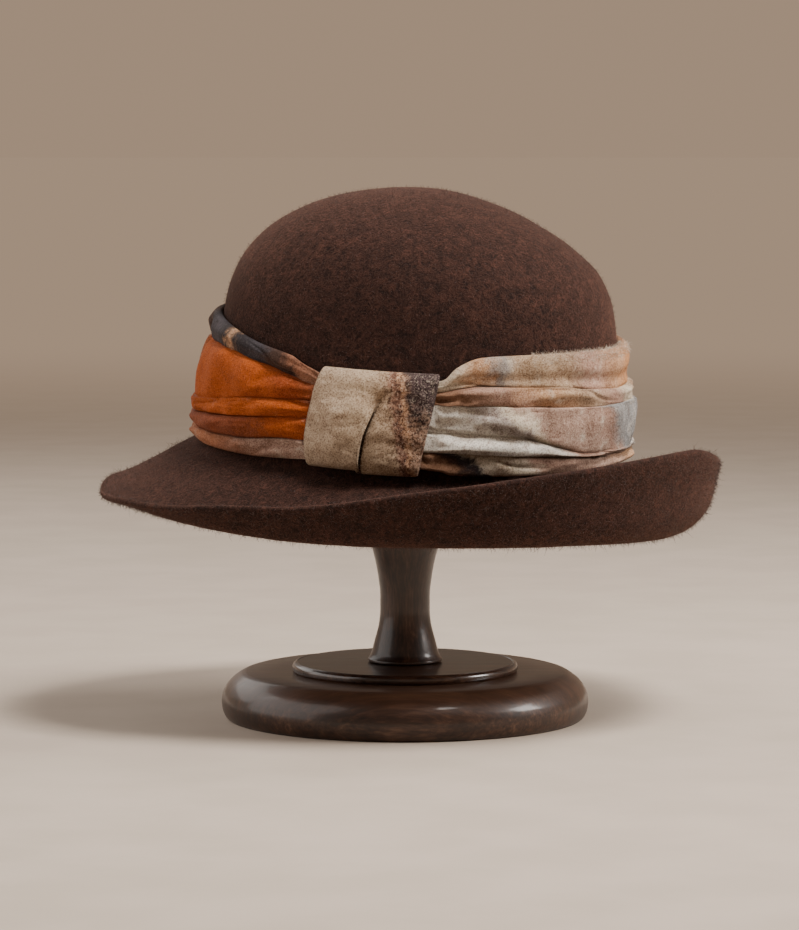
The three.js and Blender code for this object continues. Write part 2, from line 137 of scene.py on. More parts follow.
def outward(turn):
    """Level direction straight out of the crown's oval."""
    turn = np.radians(turn)
    d = np.stack([-np.cos(turn) / CROWN_HALF_LENGTH, -np.sin(turn) / CROWN_HALF_WIDTH,
                  np.zeros_like(turn)], -1)
    return d / np.linalg.norm(d, axis=-1, keepdims=True)


crown_foot = crown_point(np.array([0, 90, 180]), 1.0)
print("crown's foot at front, wrap and back, mm:", crown_foot.round(1).tolist())

# %% Section of the brim
BRIM_FINE = 240
BEND_STEPS = 80  # the steps of a section that hold the bend from the wall to the brim


def brim_section(turn):
    """The brim's section at each turn, as distances out from and up from its root."""
    width, slope, start, end, lip = (around(BRIM, k, turn)[:, None] for k in (2, 3, 4, 5, 6))
    s = (np.arange(BRIM_FINE) + 0.5)[None, :] / BRIM_FINE
    angle = np.radians(-WALL_ANGLE + (WALL_ANGLE - slope) * ease(s / BREAK_SHARE)
                       + (slope + lip) * ease((s - start) / (end - start)))
    step = BRIM_WIDTH * width / BRIM_FINE
    out = np.concatenate([np.zeros((len(turn), 1)), np.cumsum(np.cos(angle) * step, 1)], 1)
    up = np.concatenate([np.zeros((len(turn), 1)), np.cumsum(np.sin(angle) * step, 1)], 1)
    return out, up


flare_turns = np.arange(0, 361, 1.0)
flare_out, flare_up = brim_section(flare_turns)
flare_root = CROWN_HEIGHT * around(BRIM, 1, flare_turns)


def flare(turn, rise):
    """How far out of the crown's wall the felt is at a height, beside the bend to the brim."""
    rise = np.broadcast_to(rise, np.shape(turn))
    k = np.round(np.mod(turn, 360)).astype(int)
    found = []
    for column, level in zip(np.ravel(k), np.ravel(rise)):
        drop = flare_root[column] - level
        found.append(0.0 if drop <= 0 else
                     np.interp(drop, -flare_up[column, :BEND_STEPS], flare_out[column, :BEND_STEPS]))
    return np.reshape(found, np.shape(turn))


beside_band = flare(np.array([0, 90, 180]), BAND_FOOT)
print("felt at the band's foot is off the wall by, mm:", beside_band.round(1).tolist())

# %% Points off the wall, and smooth noise
def off_wall(turn, rise, off):
    """A point at a height, so far off the crown's wall."""
    depth = np.sqrt(np.clip(1 - rise / CROWN_HEIGHT, 0, 1))
    p = crown_point(turn, depth) + outward(turn) * off[..., None]
    p[..., 2] = rise
    return p


def wobble(points, size, seed):
    """Smooth noise between about -1 and 1 at each point, with lumps of the given size."""
    flat = np.reshape(points, (-1, 3)) / size + seed * 17.3
    return np.reshape([noise.noise(p) for p in flat], points.shape[:-1])


in_front = off_wall(np.array([0.0]), np.array([BAND_WIDTH]), np.array([FOLD_DEPTH]))
print("a fold's crest at the front, mm:", in_front.round(1).tolist())

# %% The hat's place on the stand
hat_turn = np.array(Matrix.Rotation(math.radians(HAT_ROLL), 3, "X")
                    @ Matrix.Rotation(math.radians(HAT_PITCH), 3, "Y"))
crown_top = crown_point(np.arange(0, 360, 5.0)[:, None], np.linspace(0, 0.4, 40)[None, :])
hat_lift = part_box("felt_hood")[1].z / MM - (crown_top @ hat_turn.T)[..., 2].max()


def on_stand(points):
    """From the hat's own millimetres to metres on the stand."""
    return (points @ hat_turn.T + np.array([-HAT_FORWARD, 0, hat_lift])) * MM


print("hat lifted by", round(hat_lift, 2), "mm")

# %% [markdown]
# ## Meshes from rings of points
# Hat, cloth and turned wood are all tubes of one kind or another: rows of points that run
# round. One helper joins the rows with four-sided faces, closes the ends at a point or back
# on the start, turns the faces outwards and can carry a UV map for a cloth's pattern.

# %% Mesh helper
def joined(name, grid, loop=False, poles=None, uv=None, material=None, sharp=None,
           hollow=False):
    """An object through rows of points. Loop joins the last row to the first, and hollow
    turns the faces in, as on the underside of a brim."""
    rows, columns = grid.shape[:2]
    points = grid.reshape(-1, 3)
    i, k = np.meshgrid(np.arange(rows if loop else rows - 1), np.arange(columns), indexing="ij")
    j, n = (i + 1) % rows, (k + 1) % columns
    faces = np.stack([i * columns + k, j * columns + k, j * columns + n, i * columns + n], -1)
    faces = faces.reshape(-1, 4)
    a, b, c, d = (points[faces[:, q]] for q in range(4))
    volume = np.einsum("ij,ij->i", np.cross(a, b), c).sum() + np.einsum(
        "ij,ij->i", np.cross(a, c), d).sum()
    corners = [(0, 0), (1, 0), (1, 1), (0, 1)]
    turn_over = (volume < 0) != hollow
    if turn_over:
        faces = faces[:, ::-1]
        corners = corners[::-1]
    faces = faces.tolist()
    if poles is not None:
        top, foot = len(points), len(points) + 1
        points = np.concatenate([points, poles])
        ring = np.arange(columns)
        after = (ring + 1) % columns
        start = (rows - 1) * columns
        caps = [(top, p, q) for p, q in zip(ring, after)]
        caps += [(foot, start + q, start + p) for p, q in zip(ring, after)]
        faces += [cap[::-1] if turn_over else cap for cap in caps]
    mesh = bpy.data.meshes.new(name)
    mesh.from_pydata(points.tolist(), [], faces)
    if uv is not None:
        layer = mesh.uv_layers.new(name="cloth")
        values = np.stack([uv[i + di, k + dk] for di, dk in corners], 2)
        layer.data.foreach_set("uv", values.reshape(-1))
    mesh.shade_smooth()
    if sharp:
        mesh.set_sharp_from_angle(angle=math.radians(sharp))
    piece = bpy.data.objects.new(name, mesh)
    bpy.context.scene.collection.objects.link(piece)
    if material:
        mesh.materials.append(material)
    print(name, len(mesh.vertices), "points")
    return piece

# %% [markdown]
# ## Finishes as arithmetic
# A finish is a small sum of patterns: a stain plus a mottle times a mask. Writing it with
# Python's own + and * is easier to read than a list of nodes and links, so one small class
# wraps a socket and adds the Math nodes. Every other node comes from its method called make.

# %% Socket arithmetic
class Strand:
    """One socket of a finish. Sums of strands add Math nodes to the same finish."""

    def __init__(self, tree, socket):
        self.tree, self.socket = tree, socket

    def make(self, kind, settings=None, sockets=None, out=0):
        """Adds a node: its settings first, with stops for a ramp, then values or links."""
        node = self.tree.nodes.new(kind)
        for name, value in (settings or {}).items():
            if name == "stops":
                ramp = node.color_ramp
                while len(ramp.elements) < len(value):
                    ramp.elements.new(0.5)
                for element, (place, colour) in zip(ramp.elements, value):
                    element.position = place
                    element.color = colour
            elif name == "ease":
                node.color_ramp.interpolation = value
            else:
                setattr(node, name, value)
        for key, value in (sockets or {}).items():
            target = node.inputs[key]
            if isinstance(value, Strand):
                self.tree.links.new(value.socket, target)
            else:
                target.default_value = value
        return Strand(self.tree, node.outputs[out])

    def maths(self, operation, *values):
        """Adds a Math node on strands and numbers."""
        return self.make("ShaderNodeMath", {"operation": operation}, dict(enumerate(values)))

    def __add__(self, other):
        return self.maths("ADD", self, other)

    def __radd__(self, other):
        return self.maths("ADD", other, self)

    def __sub__(self, other):
        return self.maths("SUBTRACT", self, other)

    def __rsub__(self, other):
        return self.maths("SUBTRACT", other, self)

    def __mul__(self, other):
        return self.maths("MULTIPLY", self, other)

    def __rmul__(self, other):
        return self.maths("MULTIPLY", other, self)

    def size(self):
        """This value without its sign."""
        return self.maths("ABSOLUTE", self)

    def between(self, low, high):
        """0 below low, 1 above high and smooth between. With low above high it falls."""
        return self.make("ShaderNodeMapRange", {"interpolation_type": "SMOOTHSTEP"},
                         {0: self, 1: low, 2: high, 3: 0.0, 4: 1.0})

    def ramp(self, stops, ease_kind="EASE"):
        """Colours along this value."""
        return self.make("ShaderNodeValToRGB", {"ease": ease_kind, "stops": stops}, {0: self})

    def blend(self, other, share):
        """This colour with a share of another one over it."""
        return self.make("ShaderNodeMix", {"data_type": "RGBA"}, {0: share, 6: self, 7: other}, 2)

    def tint(self, other, share):
        """This colour multiplied by a share of another one."""
        return self.make("ShaderNodeMix", {"data_type": "RGBA", "blend_type": "MULTIPLY"},
                         {0: share, 6: self, 7: other}, 2)

    def grain(self, size, detail=2.0, rough=0.5, warp=0.0, stretch=None):
        """Noise with lumps of a size in millimetres, on this position."""
        place = self if stretch is None else self.make(
            "ShaderNodeMapping", None, {"Vector": self, "Scale": stretch})
        return self.make("ShaderNodeTexNoise", None, {
            "Vector": place, "Scale": 1 / (size * MM), "Detail": detail, "Roughness": rough,
            "Distortion": warp})

    def bumped(self, distance, strength):
        """A normal from this height, given the relief in millimetres."""
        return self.make("ShaderNodeBump", None, {
            "Strength": strength, "Distance": distance * MM, "Height": self})


print("a finish can use:", [name for name in dir(Strand) if not name.startswith("_")])

# %% Colours and new finishes
def paint(red, green, blue):
    """A colour as read off a screen, 0 to 255, for a shader."""
    return (*[v / 255 / 12.92 if v <= 10.3 else ((v / 255 + 0.055) / 1.055) ** 2.4
              for v in (red, green, blue)], 1.0)


def finish_named(name, fixed):
    """A new finish, its shader with the values that are the same all over, and a position."""
    material = bpy.data.materials.new(name)
    material.use_nodes = True
    tree = material.node_tree
    shader = tree.nodes["Principled BSDF"]
    for key, value in fixed.items():
        shader.inputs[key].default_value = value
    place = Strand(tree, tree.nodes.new("ShaderNodeTexCoord").outputs["Object"])
    return material, shader, place


def wire(shader, **strands):
    """Connects strands to a shader's sockets, named with _ for a space."""
    for key, strand in strands.items():
        strand.tree.links.new(strand.socket, shader.inputs[key.replace("_", " ")])


print("middle grey in linear light:", round(paint(128, 128, 128)[0], 3))

# %% [markdown]
# ## The felt
# Wool felt is a mat of crimped fibres. From a metre away it reads as a fine mottle of light
# and dark tufts with thin curly fibres lying over them, and its loose surface hairs glow
# where light grazes them. The mottle and the curly lines are in colour and in bump, with a
# sheen for the glow; the longest hairs are real ones, added further down.

# %% Felt finish
felt, felt_shader, place = finish_named("brown_wool_felt", {
    "Roughness": 0.95, "Sheen Weight": 0.29, "Sheen Roughness": 0.4,
    "Sheen Tint": paint(186, 131, 108), "Specular IOR Level": 0.2})
tufts = place.grain(2.0, 5.0, 0.7, 0.5)
specks = place.grain(1.0, 2.0, 0.6)
clumps = place.grain(5.0, 3.0, 0.55, 0.8)
other_place = place.make("ShaderNodeMapping", None, {
    "Vector": place, "Location": (0.3, 0.7, 0.1)})


def curls(where, size):
    """Thin curly lines, like single crimped fibres."""
    return (where.grain(size, 2.0, 0.5, 2.2) - 0.5).size().between(0.06, 0.0)


fibres = curls(place, 3.4) * 0.5 + curls(other_place, 4.6) * 0.5
nap_height = tufts * 0.45 + specks * 0.15 + fibres * 0.4
felt_colour = (tufts * 0.50 + specks * 0.12 + clumps * 0.38).ramp([
    (0.37, paint(16, 8, 6)), (0.47, paint(28, 15, 11)), (0.56, paint(44, 26, 20)),
    (0.67, paint(71, 45, 36))], "LINEAR")
felt_colour = felt_colour.blend(paint(95, 61, 50), fibres * (0.05 + clumps * 0.68))
wire(felt_shader, Base_Color=felt_colour, Roughness=0.88 + tufts * 0.12,
     Normal=nap_height.bumped(0.9, 0.75))
print("felt:", len(felt.node_tree.nodes), "nodes")

# %% [markdown]
# ## The felt hood
# A hatter steams one felt cone over a block, so crown and brim are a single skin with a soft
# bend between them. Here the skin is rows of points down the crown and out along the brim's
# sections, a second set one felt thickness inside, and a rounded edge between the two. A
# little unevenness keeps it from looking machined.

# %% Rows down the crown and out along the brim
HOOD_TURNS, CROWN_ROWS, BRIM_ROWS = 300, 74, 84
turns = np.arange(HOOD_TURNS) * 360 / HOOD_TURNS
root_depth = np.sqrt(1 - around(BRIM, 1, turns))
crown_rows = [crown_point(turns, share * root_depth)
              for share in np.linspace(0, 1, CROWN_ROWS + 1)[1:]]
section_out, section_up = brim_section(turns)
roots = crown_rows[-1]
brim_rows = []
for share in np.linspace(0, 1, BRIM_ROWS + 1)[1:]:
    at = round(share * BRIM_FINE)
    row = roots + outward(turns) * section_out[:, at, None]
    row[:, 2] += section_up[:, at]
    brim_rows.append(row)
skin_rows = np.array(crown_rows + brim_rows)
print("felt:", len(skin_rows), "rows of", HOOD_TURNS, "points")

# %% Normals of the rows
def row_normals(grid):
    """Normals of a grid of points whose columns run round."""
    down = np.gradient(grid, axis=0)
    along = np.roll(grid, -1, 1) - np.roll(grid, 1, 1)
    n = np.cross(down, along)
    return n / np.maximum(np.linalg.norm(n, axis=-1, keepdims=True), 1e-9)


normals = row_normals(skin_rows)
print("a normal near the top:", normals[3, 0].round(2).tolist())

# %% Uneven skin, thickness and rounded edge
LIP_SWELL = 0.5  # the brim's edge is a little thicker, as cut felt is
EVEN_ROWS = 6  # the skin is even at the very top, where the rows meet in one point
EDGE_ANGLES, EDGE_FULLNESS = (26, 52, 78, 102, 128, 154), 0.85
unevenness = 0.45 * wobble(skin_rows, 42, 1) + 0.16 * wobble(skin_rows, 13, 2)
fade_in = np.minimum(1, np.arange(len(skin_rows)) / EVEN_ROWS)
outer = skin_rows + normals * (unevenness * fade_in[:, None])[..., None]
over_last_twelfth = ease(np.linspace(0, 1, len(outer)) * 12 - 11)
thickness = FELT + LIP_SWELL * over_last_twelfth
inner = outer - normals * thickness[:, None, None]
tip = outer[-1] - outer[-2]
tip /= np.linalg.norm(tip, axis=-1, keepdims=True)
middle, half = (outer[-1] + inner[-1]) / 2, thickness[-1] / 2
edge_rows = [middle + normals[-1] * half * math.cos(a) + tip * half * EDGE_FULLNESS * math.sin(a)
             for a in np.radians(EDGE_ANGLES)]
print("felt:", round(thickness[0], 2), "to", round(thickness[-1], 2), "mm thick")

# %% Felt hood
hood_grid = np.concatenate([outer, edge_rows, inner[::-1]])
apex = np.array([[0, 0, CROWN_HEIGHT], [0, 0, CROWN_HEIGHT - FELT]])
hood = joined("hat_felt", on_stand(hood_grid), poles=on_stand(apex), material=felt)
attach(hood, "root")
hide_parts("felt_hood")

# %% [markdown]
# ## The scarf's folds
# The scarf is a length of soft printed cloth, gathered by hand into five folds and laid round
# the crown. It could be simulated, but gathers held by a wrap stay where a maker puts them,
# so the folds follow tables: how high each crease runs at each turn, how deep it is, and how
# far each fold stands out. Each fold is part of an ellipse, so two of them meet in a narrow
# crease. Fine gathers fan out from the wrap.

# %% Creases round the hat
FOLD_COUNT = 5
CREASES = np.array([  # turn, foot, creases 4 to 1, top, as shares of the band's width
    (0, 0.020, 0.100, 0.220, 0.330, 0.820, 1.040), (20, 0.000, 0.120, 0.260, 0.385, 0.820, 0.990),
    (40, 0.010, 0.150, 0.320, 0.475, 0.760, 0.900), (52, 0.030, 0.190, 0.360, 0.505, 0.700, 0.850),
    (60, 0.050, 0.200, 0.375, 0.515, 0.650, 0.770), (64, 0.055, 0.195, 0.365, 0.515, 0.640, 0.735),
    (78, 0.062, 0.180, 0.345, 0.530, 0.640, 0.735), (94, 0.040, 0.180, 0.335, 0.560, 0.655, 0.735),
    (97, 0.030, 0.180, 0.335, 0.560, 0.660, 0.755), (100, 0.005, 0.180, 0.335, 0.560, 0.680, 0.840),
    (108, 0.000, 0.178, 0.332, 0.560, 0.710, 0.930), (118, 0.000, 0.160, 0.312, 0.550, 0.700, 0.945),
    (132, 0.000, 0.138, 0.210, 0.535, 0.690, 0.950), (140, 0.000, 0.125, 0.160, 0.525, 0.665, 0.950),
    (168, 0.000, 0.090, 0.140, 0.500, 0.610, 0.930), (200, 0.000, 0.085, 0.180, 0.470, 0.640, 0.935),
    (232, 0.000, 0.130, 0.270, 0.390, 0.735, 0.955), (266, 0.000, 0.085, 0.330, 0.500, 0.690, 0.960),
    (304, 0.010, 0.170, 0.270, 0.410, 0.790, 1.000), (335, 0.020, 0.110, 0.245, 0.345, 0.800, 1.040)])
print("creases are given at", len(CREASES), "turns")

# %% Depths of the folds and of the creases between them
FOLDS = np.array([  # turn, folds 1 to 5, as shares of the fold depth
    (0, 0.56, 0.80, 0.92, 1.00, 0.84), (40, 0.58, 0.78, 0.86, 0.84, 0.60),
    (60, 0.46, 0.52, 0.52, 0.50, 0.42), (78, 0.52, 0.66, 0.68, 0.62, 0.46),
    (94, 0.46, 0.50, 0.52, 0.52, 0.44), (112, 0.60, 0.75, 0.88, 0.88, 0.62),
    (140, 0.60, 0.76, 0.92, 0.80, 0.72), (168, 0.56, 0.72, 0.84, 0.76, 0.74),
    (186, 0.54, 0.66, 0.74, 0.68, 0.66), (215, 0.56, 0.72, 0.82, 0.74, 0.66),
    (270, 0.58, 0.78, 0.90, 0.82, 0.68)])
CREASE_DEPTHS = np.array([  # turn, creases 1 to 4, as shares of the lower of the two folds
    (0, 0.45, 0.98, 0.50, 0.55), (22, 0.42, 0.95, 0.44, 0.55), (36, 0.38, 0.66, 0.34, 0.50),
    (56, 0.36, 0.36, 0.28, 0.42), (78, 0.50, 0.50, 0.50, 0.50), (100, 0.30, 0.46, 0.30, 0.34),
    (118, 0.62, 0.60, 0.36, 0.36), (136, 0.76, 0.76, 0.78, 0.40), (168, 0.74, 0.86, 0.93, 0.44),
    (210, 0.66, 0.74, 0.72, 0.60), (270, 0.58, 0.70, 0.60, 0.60), (320, 0.62, 0.66, 0.70, 0.60)])
print("the deepest fold:", round(FOLD_DEPTH * FOLDS[:, 1:].max(), 1), "mm")

# %% Crests and forms of the folds
CRESTS = np.array([  # turn, where folds 1 to 5 are fullest, from the upper crease
    (0, 0.50, 0.62, 0.55, 0.50, 0.45), (56, 0.50, 0.52, 0.50, 0.45, 0.42),
    (100, 0.55, 0.44, 0.62, 0.74, 0.40), (128, 0.54, 0.38, 0.44, 0.70, 0.42),
    (168, 0.52, 0.36, 0.30, 0.50, 0.42), (270, 0.50, 0.55, 0.50, 0.50, 0.45)])
FORMS = np.array([  # turn, how boxy folds are and how far they lean in below, folds 1 to 5
    (0, 0.60, 0.52, 0.50, 0.50, 0.45, 0.20, 0.05, 0.12, 0.10, 0.10),
    (56, 0.60, 0.52, 0.50, 0.50, 0.45, 0.20, 0.12, 0.18, 0.10, 0.10),
    (100, 0.42, 0.40, 0.34, 0.34, 0.40, 0.16, 0.10, 0.14, 0.04, 0.06),
    (168, 0.40, 0.40, 0.34, 0.34, 0.40, 0.16, 0.08, 0.08, 0.08, 0.08),
    (270, 0.48, 0.44, 0.42, 0.44, 0.42, 0.06, 0.12, 0.10, 0.10, 0.10)])
print("a fold is fullest at", CRESTS[:, 1:].min(), "to", CRESTS[:, 1:].max(), "of its width")

# %% Edges of the wrap, and the scarf's cloth
WRAP_EDGES = np.array([  # share of the wrap's height, left and right edges in degrees
    (-0.1, 60.6, 90.6), (0.33, 59.8, 92.6), (0.68, 61.0, 94.4), (1.1, 63.6, 96.3)])
SCARF_CLOTH = 0.9
SEAM_TURN = 270  # the scarf's ends meet on the far side
print("the wrap is", round(WRAP_EDGES[1, 2] - WRAP_EDGES[1, 1], 1), "degrees wide near its foot")

# %% Turns of the scarf's sections
NEAR_FROM, NEAR_TO, NEAR_STEP, FAR_SECTIONS = -12, 192, 0.66, 111
near_turns = np.arange(NEAR_FROM, NEAR_TO, NEAR_STEP)
far_turns = np.linspace(NEAR_TO, NEAR_FROM + 360, FAR_SECTIONS + 1)[:-1]
scarf_turns = np.sort(np.mod(np.concatenate([near_turns, far_turns]), 360))
scarf_turns = np.roll(scarf_turns, -np.searchsorted(scarf_turns, SEAM_TURN))
print("scarf:", len(scarf_turns), "sections, closest together on the wrap's side")

# %% Levels and depths of the folds
def band_inside(turn, rise):
    """How far off the wall the scarf's inside has to stay, with room for the wrap's back."""
    first, last, soft = WRAP_EDGES[1, 1] - 2.8, WRAP_EDGES[3, 2] + 1.7, 5
    under = ease((turn - first + soft) / soft) * ease((last + soft - turn) / soft)
    return CLEARANCE + flare(turn, rise - 0.6) + under * (WRAP_CLOTH + 1.3 * CLEARANCE)


EDGE_BEND = 1.5  # the upper and lower edges bend out from the inside by this much
WRAP_SQUEEZE = 0.36  # the share by which the wrap presses the folds in
squeeze = 1 - WRAP_SQUEEZE * ease((scarf_turns - 62) / 4) * ease((92.5 - scarf_turns) / 4)
levels = [BAND_FOOT + BAND_WIDTH * around(CREASES, k, scarf_turns) for k in (6, 5, 4, 3, 2, 1)]
depths = [FOLD_DEPTH * around(FOLDS, k, scarf_turns) * squeeze for k in range(1, FOLD_COUNT + 1)]
top_end = band_inside(scarf_turns, levels[0]) + EDGE_BEND
foot_end = band_inside(scarf_turns, levels[-1]) + EDGE_BEND
crease_bottoms = [around(CREASE_DEPTHS, k, scarf_turns) * np.minimum(depths[k - 1], depths[k])
                  for k in range(1, FOLD_COUNT)]
bottoms = [top_end] + crease_bottoms + [foot_end]
print("folds stand out by up to", round(float(np.max(depths)), 1), "mm")

# %% Points of each section
FOLD_POINTS = 18
TURN_IN = ((0.5, 0.6), (1.6, 0.2), (3.4, 0.15), (5.5, 0.15))  # past the hem, off the inside
TURN_IN_SHARE = 0.02  # of a fold, for each millimetre past the hem
rises, offs, along = [], [], []


def put(rise, off, fold_share):
    """Adds a point to every section, with its place along the cloth counted in folds."""
    rises.append(rise)
    offs.append(off)
    along.append(np.full_like(rise, fold_share))


for drop, inset in TURN_IN[::-1]:
    rise = levels[0] - drop
    put(rise, band_inside(scarf_turns, rise) + inset, -TURN_IN_SHARE * drop)
for i in range(FOLD_COUNT):
    crest = around(CRESTS, i + 1, scarf_turns)
    to_crest = np.log(crest) / math.log(0.5)
    boxy = around(FORMS, i + 1, scarf_turns)
    lean = around(FORMS, i + 1 + FOLD_COUNT, scarf_turns)
    for q in range(FOLD_POINTS + (i == FOLD_COUNT - 1)):
        phi = math.pi * q / FOLD_POINTS
        share = ((1 - math.cos(phi)) / 2) ** to_crest
        base = mix(bottoms[i], bottoms[i + 1], share)
        off = base + (depths[i] - base) * math.sin(phi) ** boxy
        off = off - lean * depths[i] * np.clip((share - crest) / (1 - crest), 0, 1)
        put(mix(levels[i], levels[i + 1], share), off, i + q / FOLD_POINTS)
for drop, inset in TURN_IN:
    rise = levels[-1] + drop
    put(rise, band_inside(scarf_turns, rise) + inset, FOLD_COUNT + TURN_IN_SHARE * drop)
rises, offs, along = np.array(rises), np.array(offs), np.array(along)
print("each section has", rises.shape[0], "points")

# %% Where the cloth is gathered
KNOT_LEFT, KNOT_RIGHT = 60.5, 95.0
MM_PER_DEGREE, MM_PER_FOLD = 1.62, 12.4  # cloth along the folds, and across each one
turn_grid = np.broadcast_to(scarf_turns, rises.shape)
from_knot = np.minimum(np.abs(turn_grid - KNOT_LEFT), np.abs(turn_grid - KNOT_RIGHT))
inside_knot = (turn_grid > KNOT_LEFT) & (turn_grid < KNOT_RIGHT)
gather = np.where(inside_knot, 0.35, np.exp(-from_knot / 15))
arc, down_cloth = turn_grid * MM_PER_DEGREE, along * MM_PER_FOLD
print("cloth round the crown's side:", round(360 * MM_PER_DEGREE), "mm")

# %% Ripples and fine creases
def cloth_noise(length, width, seed):
    """Noise drawn out along the folds, with its length and width in millimetres."""
    return wobble(np.stack([arc / length, down_cloth / width, 0 * arc], -1), 1.0, seed)


lines = cloth_noise(34, 6.5, 8)
valleys = np.exp(-(lines / 0.07) ** 2) * ease(cloth_noise(30, 16, 9) * 2 + 0.45 + gather)
far_side = ease((turn_grid - 190) / 12) * ease((350 - turn_grid) / 12)
pulls = wobble(np.stack([(arc + 1.7 * down_cloth) / 34, down_cloth / 13, 0 * arc], -1), 1.0, 12)
pulled = ease(cloth_noise(26, 22, 13) * 2 + 0.6)
valleys = valleys + 0.9 * far_side * np.exp(-(pulls / 0.09) ** 2) * pulled
ripple = (4.2 * gather * cloth_noise(22, 3.6, 3) + 1.5 * cloth_noise(17, 4.8, 4)
          + 2.4 * cloth_noise(15, 13, 5) + 0.5 * cloth_noise(8, 5, 10) - 1.4 * valleys)
print("ripples:", round(ripple.min(), 1), "to", round(ripple.max(), 1), "mm")

# %% Ripples laid on the folds, and room kept under the wrap
past_top, before_foot = along - 0.05, FOLD_COUNT - 0.05 - along
hem = np.clip(past_top / 0.4, 0, 1) * np.clip(before_foot / 0.4, 0, 1)
calm = 1 - 0.7 * np.exp(-((turn_grid - 110) / 17) ** 2 - ((along - 3.5) / 0.55) ** 2)
furrow = np.exp(-((along - 0.63) / 0.12) ** 2) * ease((turn_grid - 104) / 12) * ease(
    (182 - turn_grid) / 14)
offs = offs + ripple * hem * calm - 1.8 * furrow
past_knot = np.maximum(0, np.maximum(KNOT_LEFT - turn_grid, turn_grid - KNOT_RIGHT))
wrap_inside = FOLD_DEPTH * around(FOLDS, 3, turn_grid) - 0.8 + 1.1 * past_knot
offs = np.where(past_knot < 9, np.minimum(offs, wrap_inside), offs)
least_off = band_inside(turn_grid, rises) + SCARF_CLOTH + 0.2
between_hems = (along >= 0) & (along <= FOLD_COUNT) & (hem > 0.2)
offs = np.where(between_hems, np.maximum(offs, least_off), offs)
print("the scarf's face is up to", round(offs.max(), 1), "mm off the wall")

# %% Both sides of the cloth, its map and its size when flat
scarf_rows = off_wall(turn_grid, rises, offs)
scarf_normals = row_normals(scarf_rows)
scarf_back = scarf_rows - scarf_normals * SCARF_CLOTH
scarf_grid = np.concatenate([scarf_rows, scarf_back[::-1]])
u_row = np.mod(scarf_turns - SEAM_TURN, 360) / 360
u_row = np.append(u_row, 1.0)
v_column = np.concatenate([along[:, 0], along[::-1, 0], along[:1, 0]]) / FOLD_COUNT
scarf_uv = np.stack(np.meshgrid(u_row, v_column), -1)
section_steps = np.linalg.norm(np.diff(scarf_rows, axis=0), axis=-1)
scarf_width = section_steps.sum(0).mean()
ring_steps = np.linalg.norm(np.roll(scarf_rows, -1, 1) - scarf_rows, axis=-1)
scarf_length = ring_steps.sum(1).mean()
print("scarf cloth, mm:", round(scarf_length), "long and", round(scarf_width), "wide when flat")

# %% [markdown]
# ## The scarf's print
# The cloth carries soft washes of colour that run into each other, like dye on wet silk.
# Each fold shows another part of the cloth, so each gets its own run of colours round the
# hat, bent by noise so that no edge is straight, with a weave and a fine speckle over all.
# Two runs also hold painted shade where the orange folds turn away at the hat's front edge.

# %% Colours of the folds round the hat
NAVY, SLATE, UMBER = paint(36, 31, 36), paint(62, 58, 64), paint(60, 38, 28)
RUST, ORANGE, DEEP_ORANGE = paint(136, 66, 30), paint(168, 76, 0), paint(146, 62, 8)
RUSSET, AMBER, BRIGHT = paint(152, 102, 76), paint(190, 134, 86), paint(230, 225, 214)
BLUSH, ASH, FLAME = paint(178, 147, 129), paint(174, 164, 156), paint(188, 88, 4)
STONE, COPPER = paint(141, 141, 140), paint(176, 112, 76)
PEACH, CREAM, SAND = paint(186, 144, 108), paint(204, 190, 168), paint(170, 144, 116)
ROSE, LILAC, SILVER = paint(164, 130, 112), paint(132, 98, 88), paint(206, 200, 190)
GREY, TAN = paint(134, 126, 120), paint(134, 98, 74)


def run_of(*stops):
    """Ramp stops from turns in degrees, starting at the seam."""
    shares = [(((turn - SEAM_TURN) % 360) / 360, colour) for turn, colour in stops]
    return sorted(shares, key=lambda stop: stop[0])


FOLD_RUNS = [
    run_of((275, TAN), (300, CREAM), (322, SLATE), (340, NAVY), (356, UMBER), (8, NAVY),
           (16, SLATE), (24, NAVY), (28, PEACH), (32, NAVY), (40, SLATE), (46, UMBER),
           (50, UMBER), (56, RUSSET), (98, CREAM), (106, PEACH), (112, GREY), (119, SAND),
           (130, SAND), (144, ROSE), (160, PEACH), (172, AMBER), (190, TAN), (215, CREAM),
           (240, ROSE), (262, TAN)),
    # On fold 2 the rust and russet from turn 345 to 358, and on fold 3 the russet at 348, are painted
    # shade where the orange turns away at the hat's front edge; further round the stops are print
    run_of((275, PEACH), (298, RUST), (322, DEEP_ORANGE), (345, RUST), (358, RUSSET),
           (8, ORANGE), (30, ORANGE), (44, ORANGE), (54, DEEP_ORANGE), (80, TAN), (98, TAN),
           (112, ROSE), (126, PEACH), (140, SAND), (154, ROSE), (166, CREAM), (180, SAND),
           (200, GREY), (225, LILAC), (250, SAND), (266, PEACH)),
    run_of((275, SAND), (300, PEACH), (325, RUST), (348, RUSSET), (6, ORANGE), (28, FLAME),
           (50, FLAME), (60, ORANGE), (80, GREY), (96, BRIGHT), (105, BRIGHT),
           (112, ASH), (116, ASH), (120, CREAM), (126, BLUSH), (143, BLUSH), (150, ROSE),
           (156, STONE), (180, STONE), (200, SAND), (228, ROSE), (250, CREAM), (266, SAND)),
    run_of((275, GREY), (300, LILAC), (325, UMBER), (350, RUSSET), (10, RUST), (30, RUST),
           (43, RUST), (49, ORANGE), (58, FLAME), (80, BRIGHT),
           (100, BRIGHT), (120, BRIGHT), (132, SILVER), (140, ROSE), (156, ROSE), (166, GREY),
           (180, SILVER), (205, PEACH), (235, TAN), (266, GREY)),
    run_of((275, ROSE), (300, TAN), (325, PEACH), (350, RUSSET), (8, COPPER), (20, COPPER),
           (34, RUSSET), (46, ROSE), (58, BLUSH), (70, UMBER), (97, TAN), (101, UMBER),
           (105, NAVY), (109, CREAM), (119, CREAM), (126, ROSE), (150, BLUSH), (170, PEACH),
           (190, SAND), (220, GREY), (245, CREAM), (266, ROSE))]
print("dyes in each fold:", [len(run) for run in FOLD_RUNS])

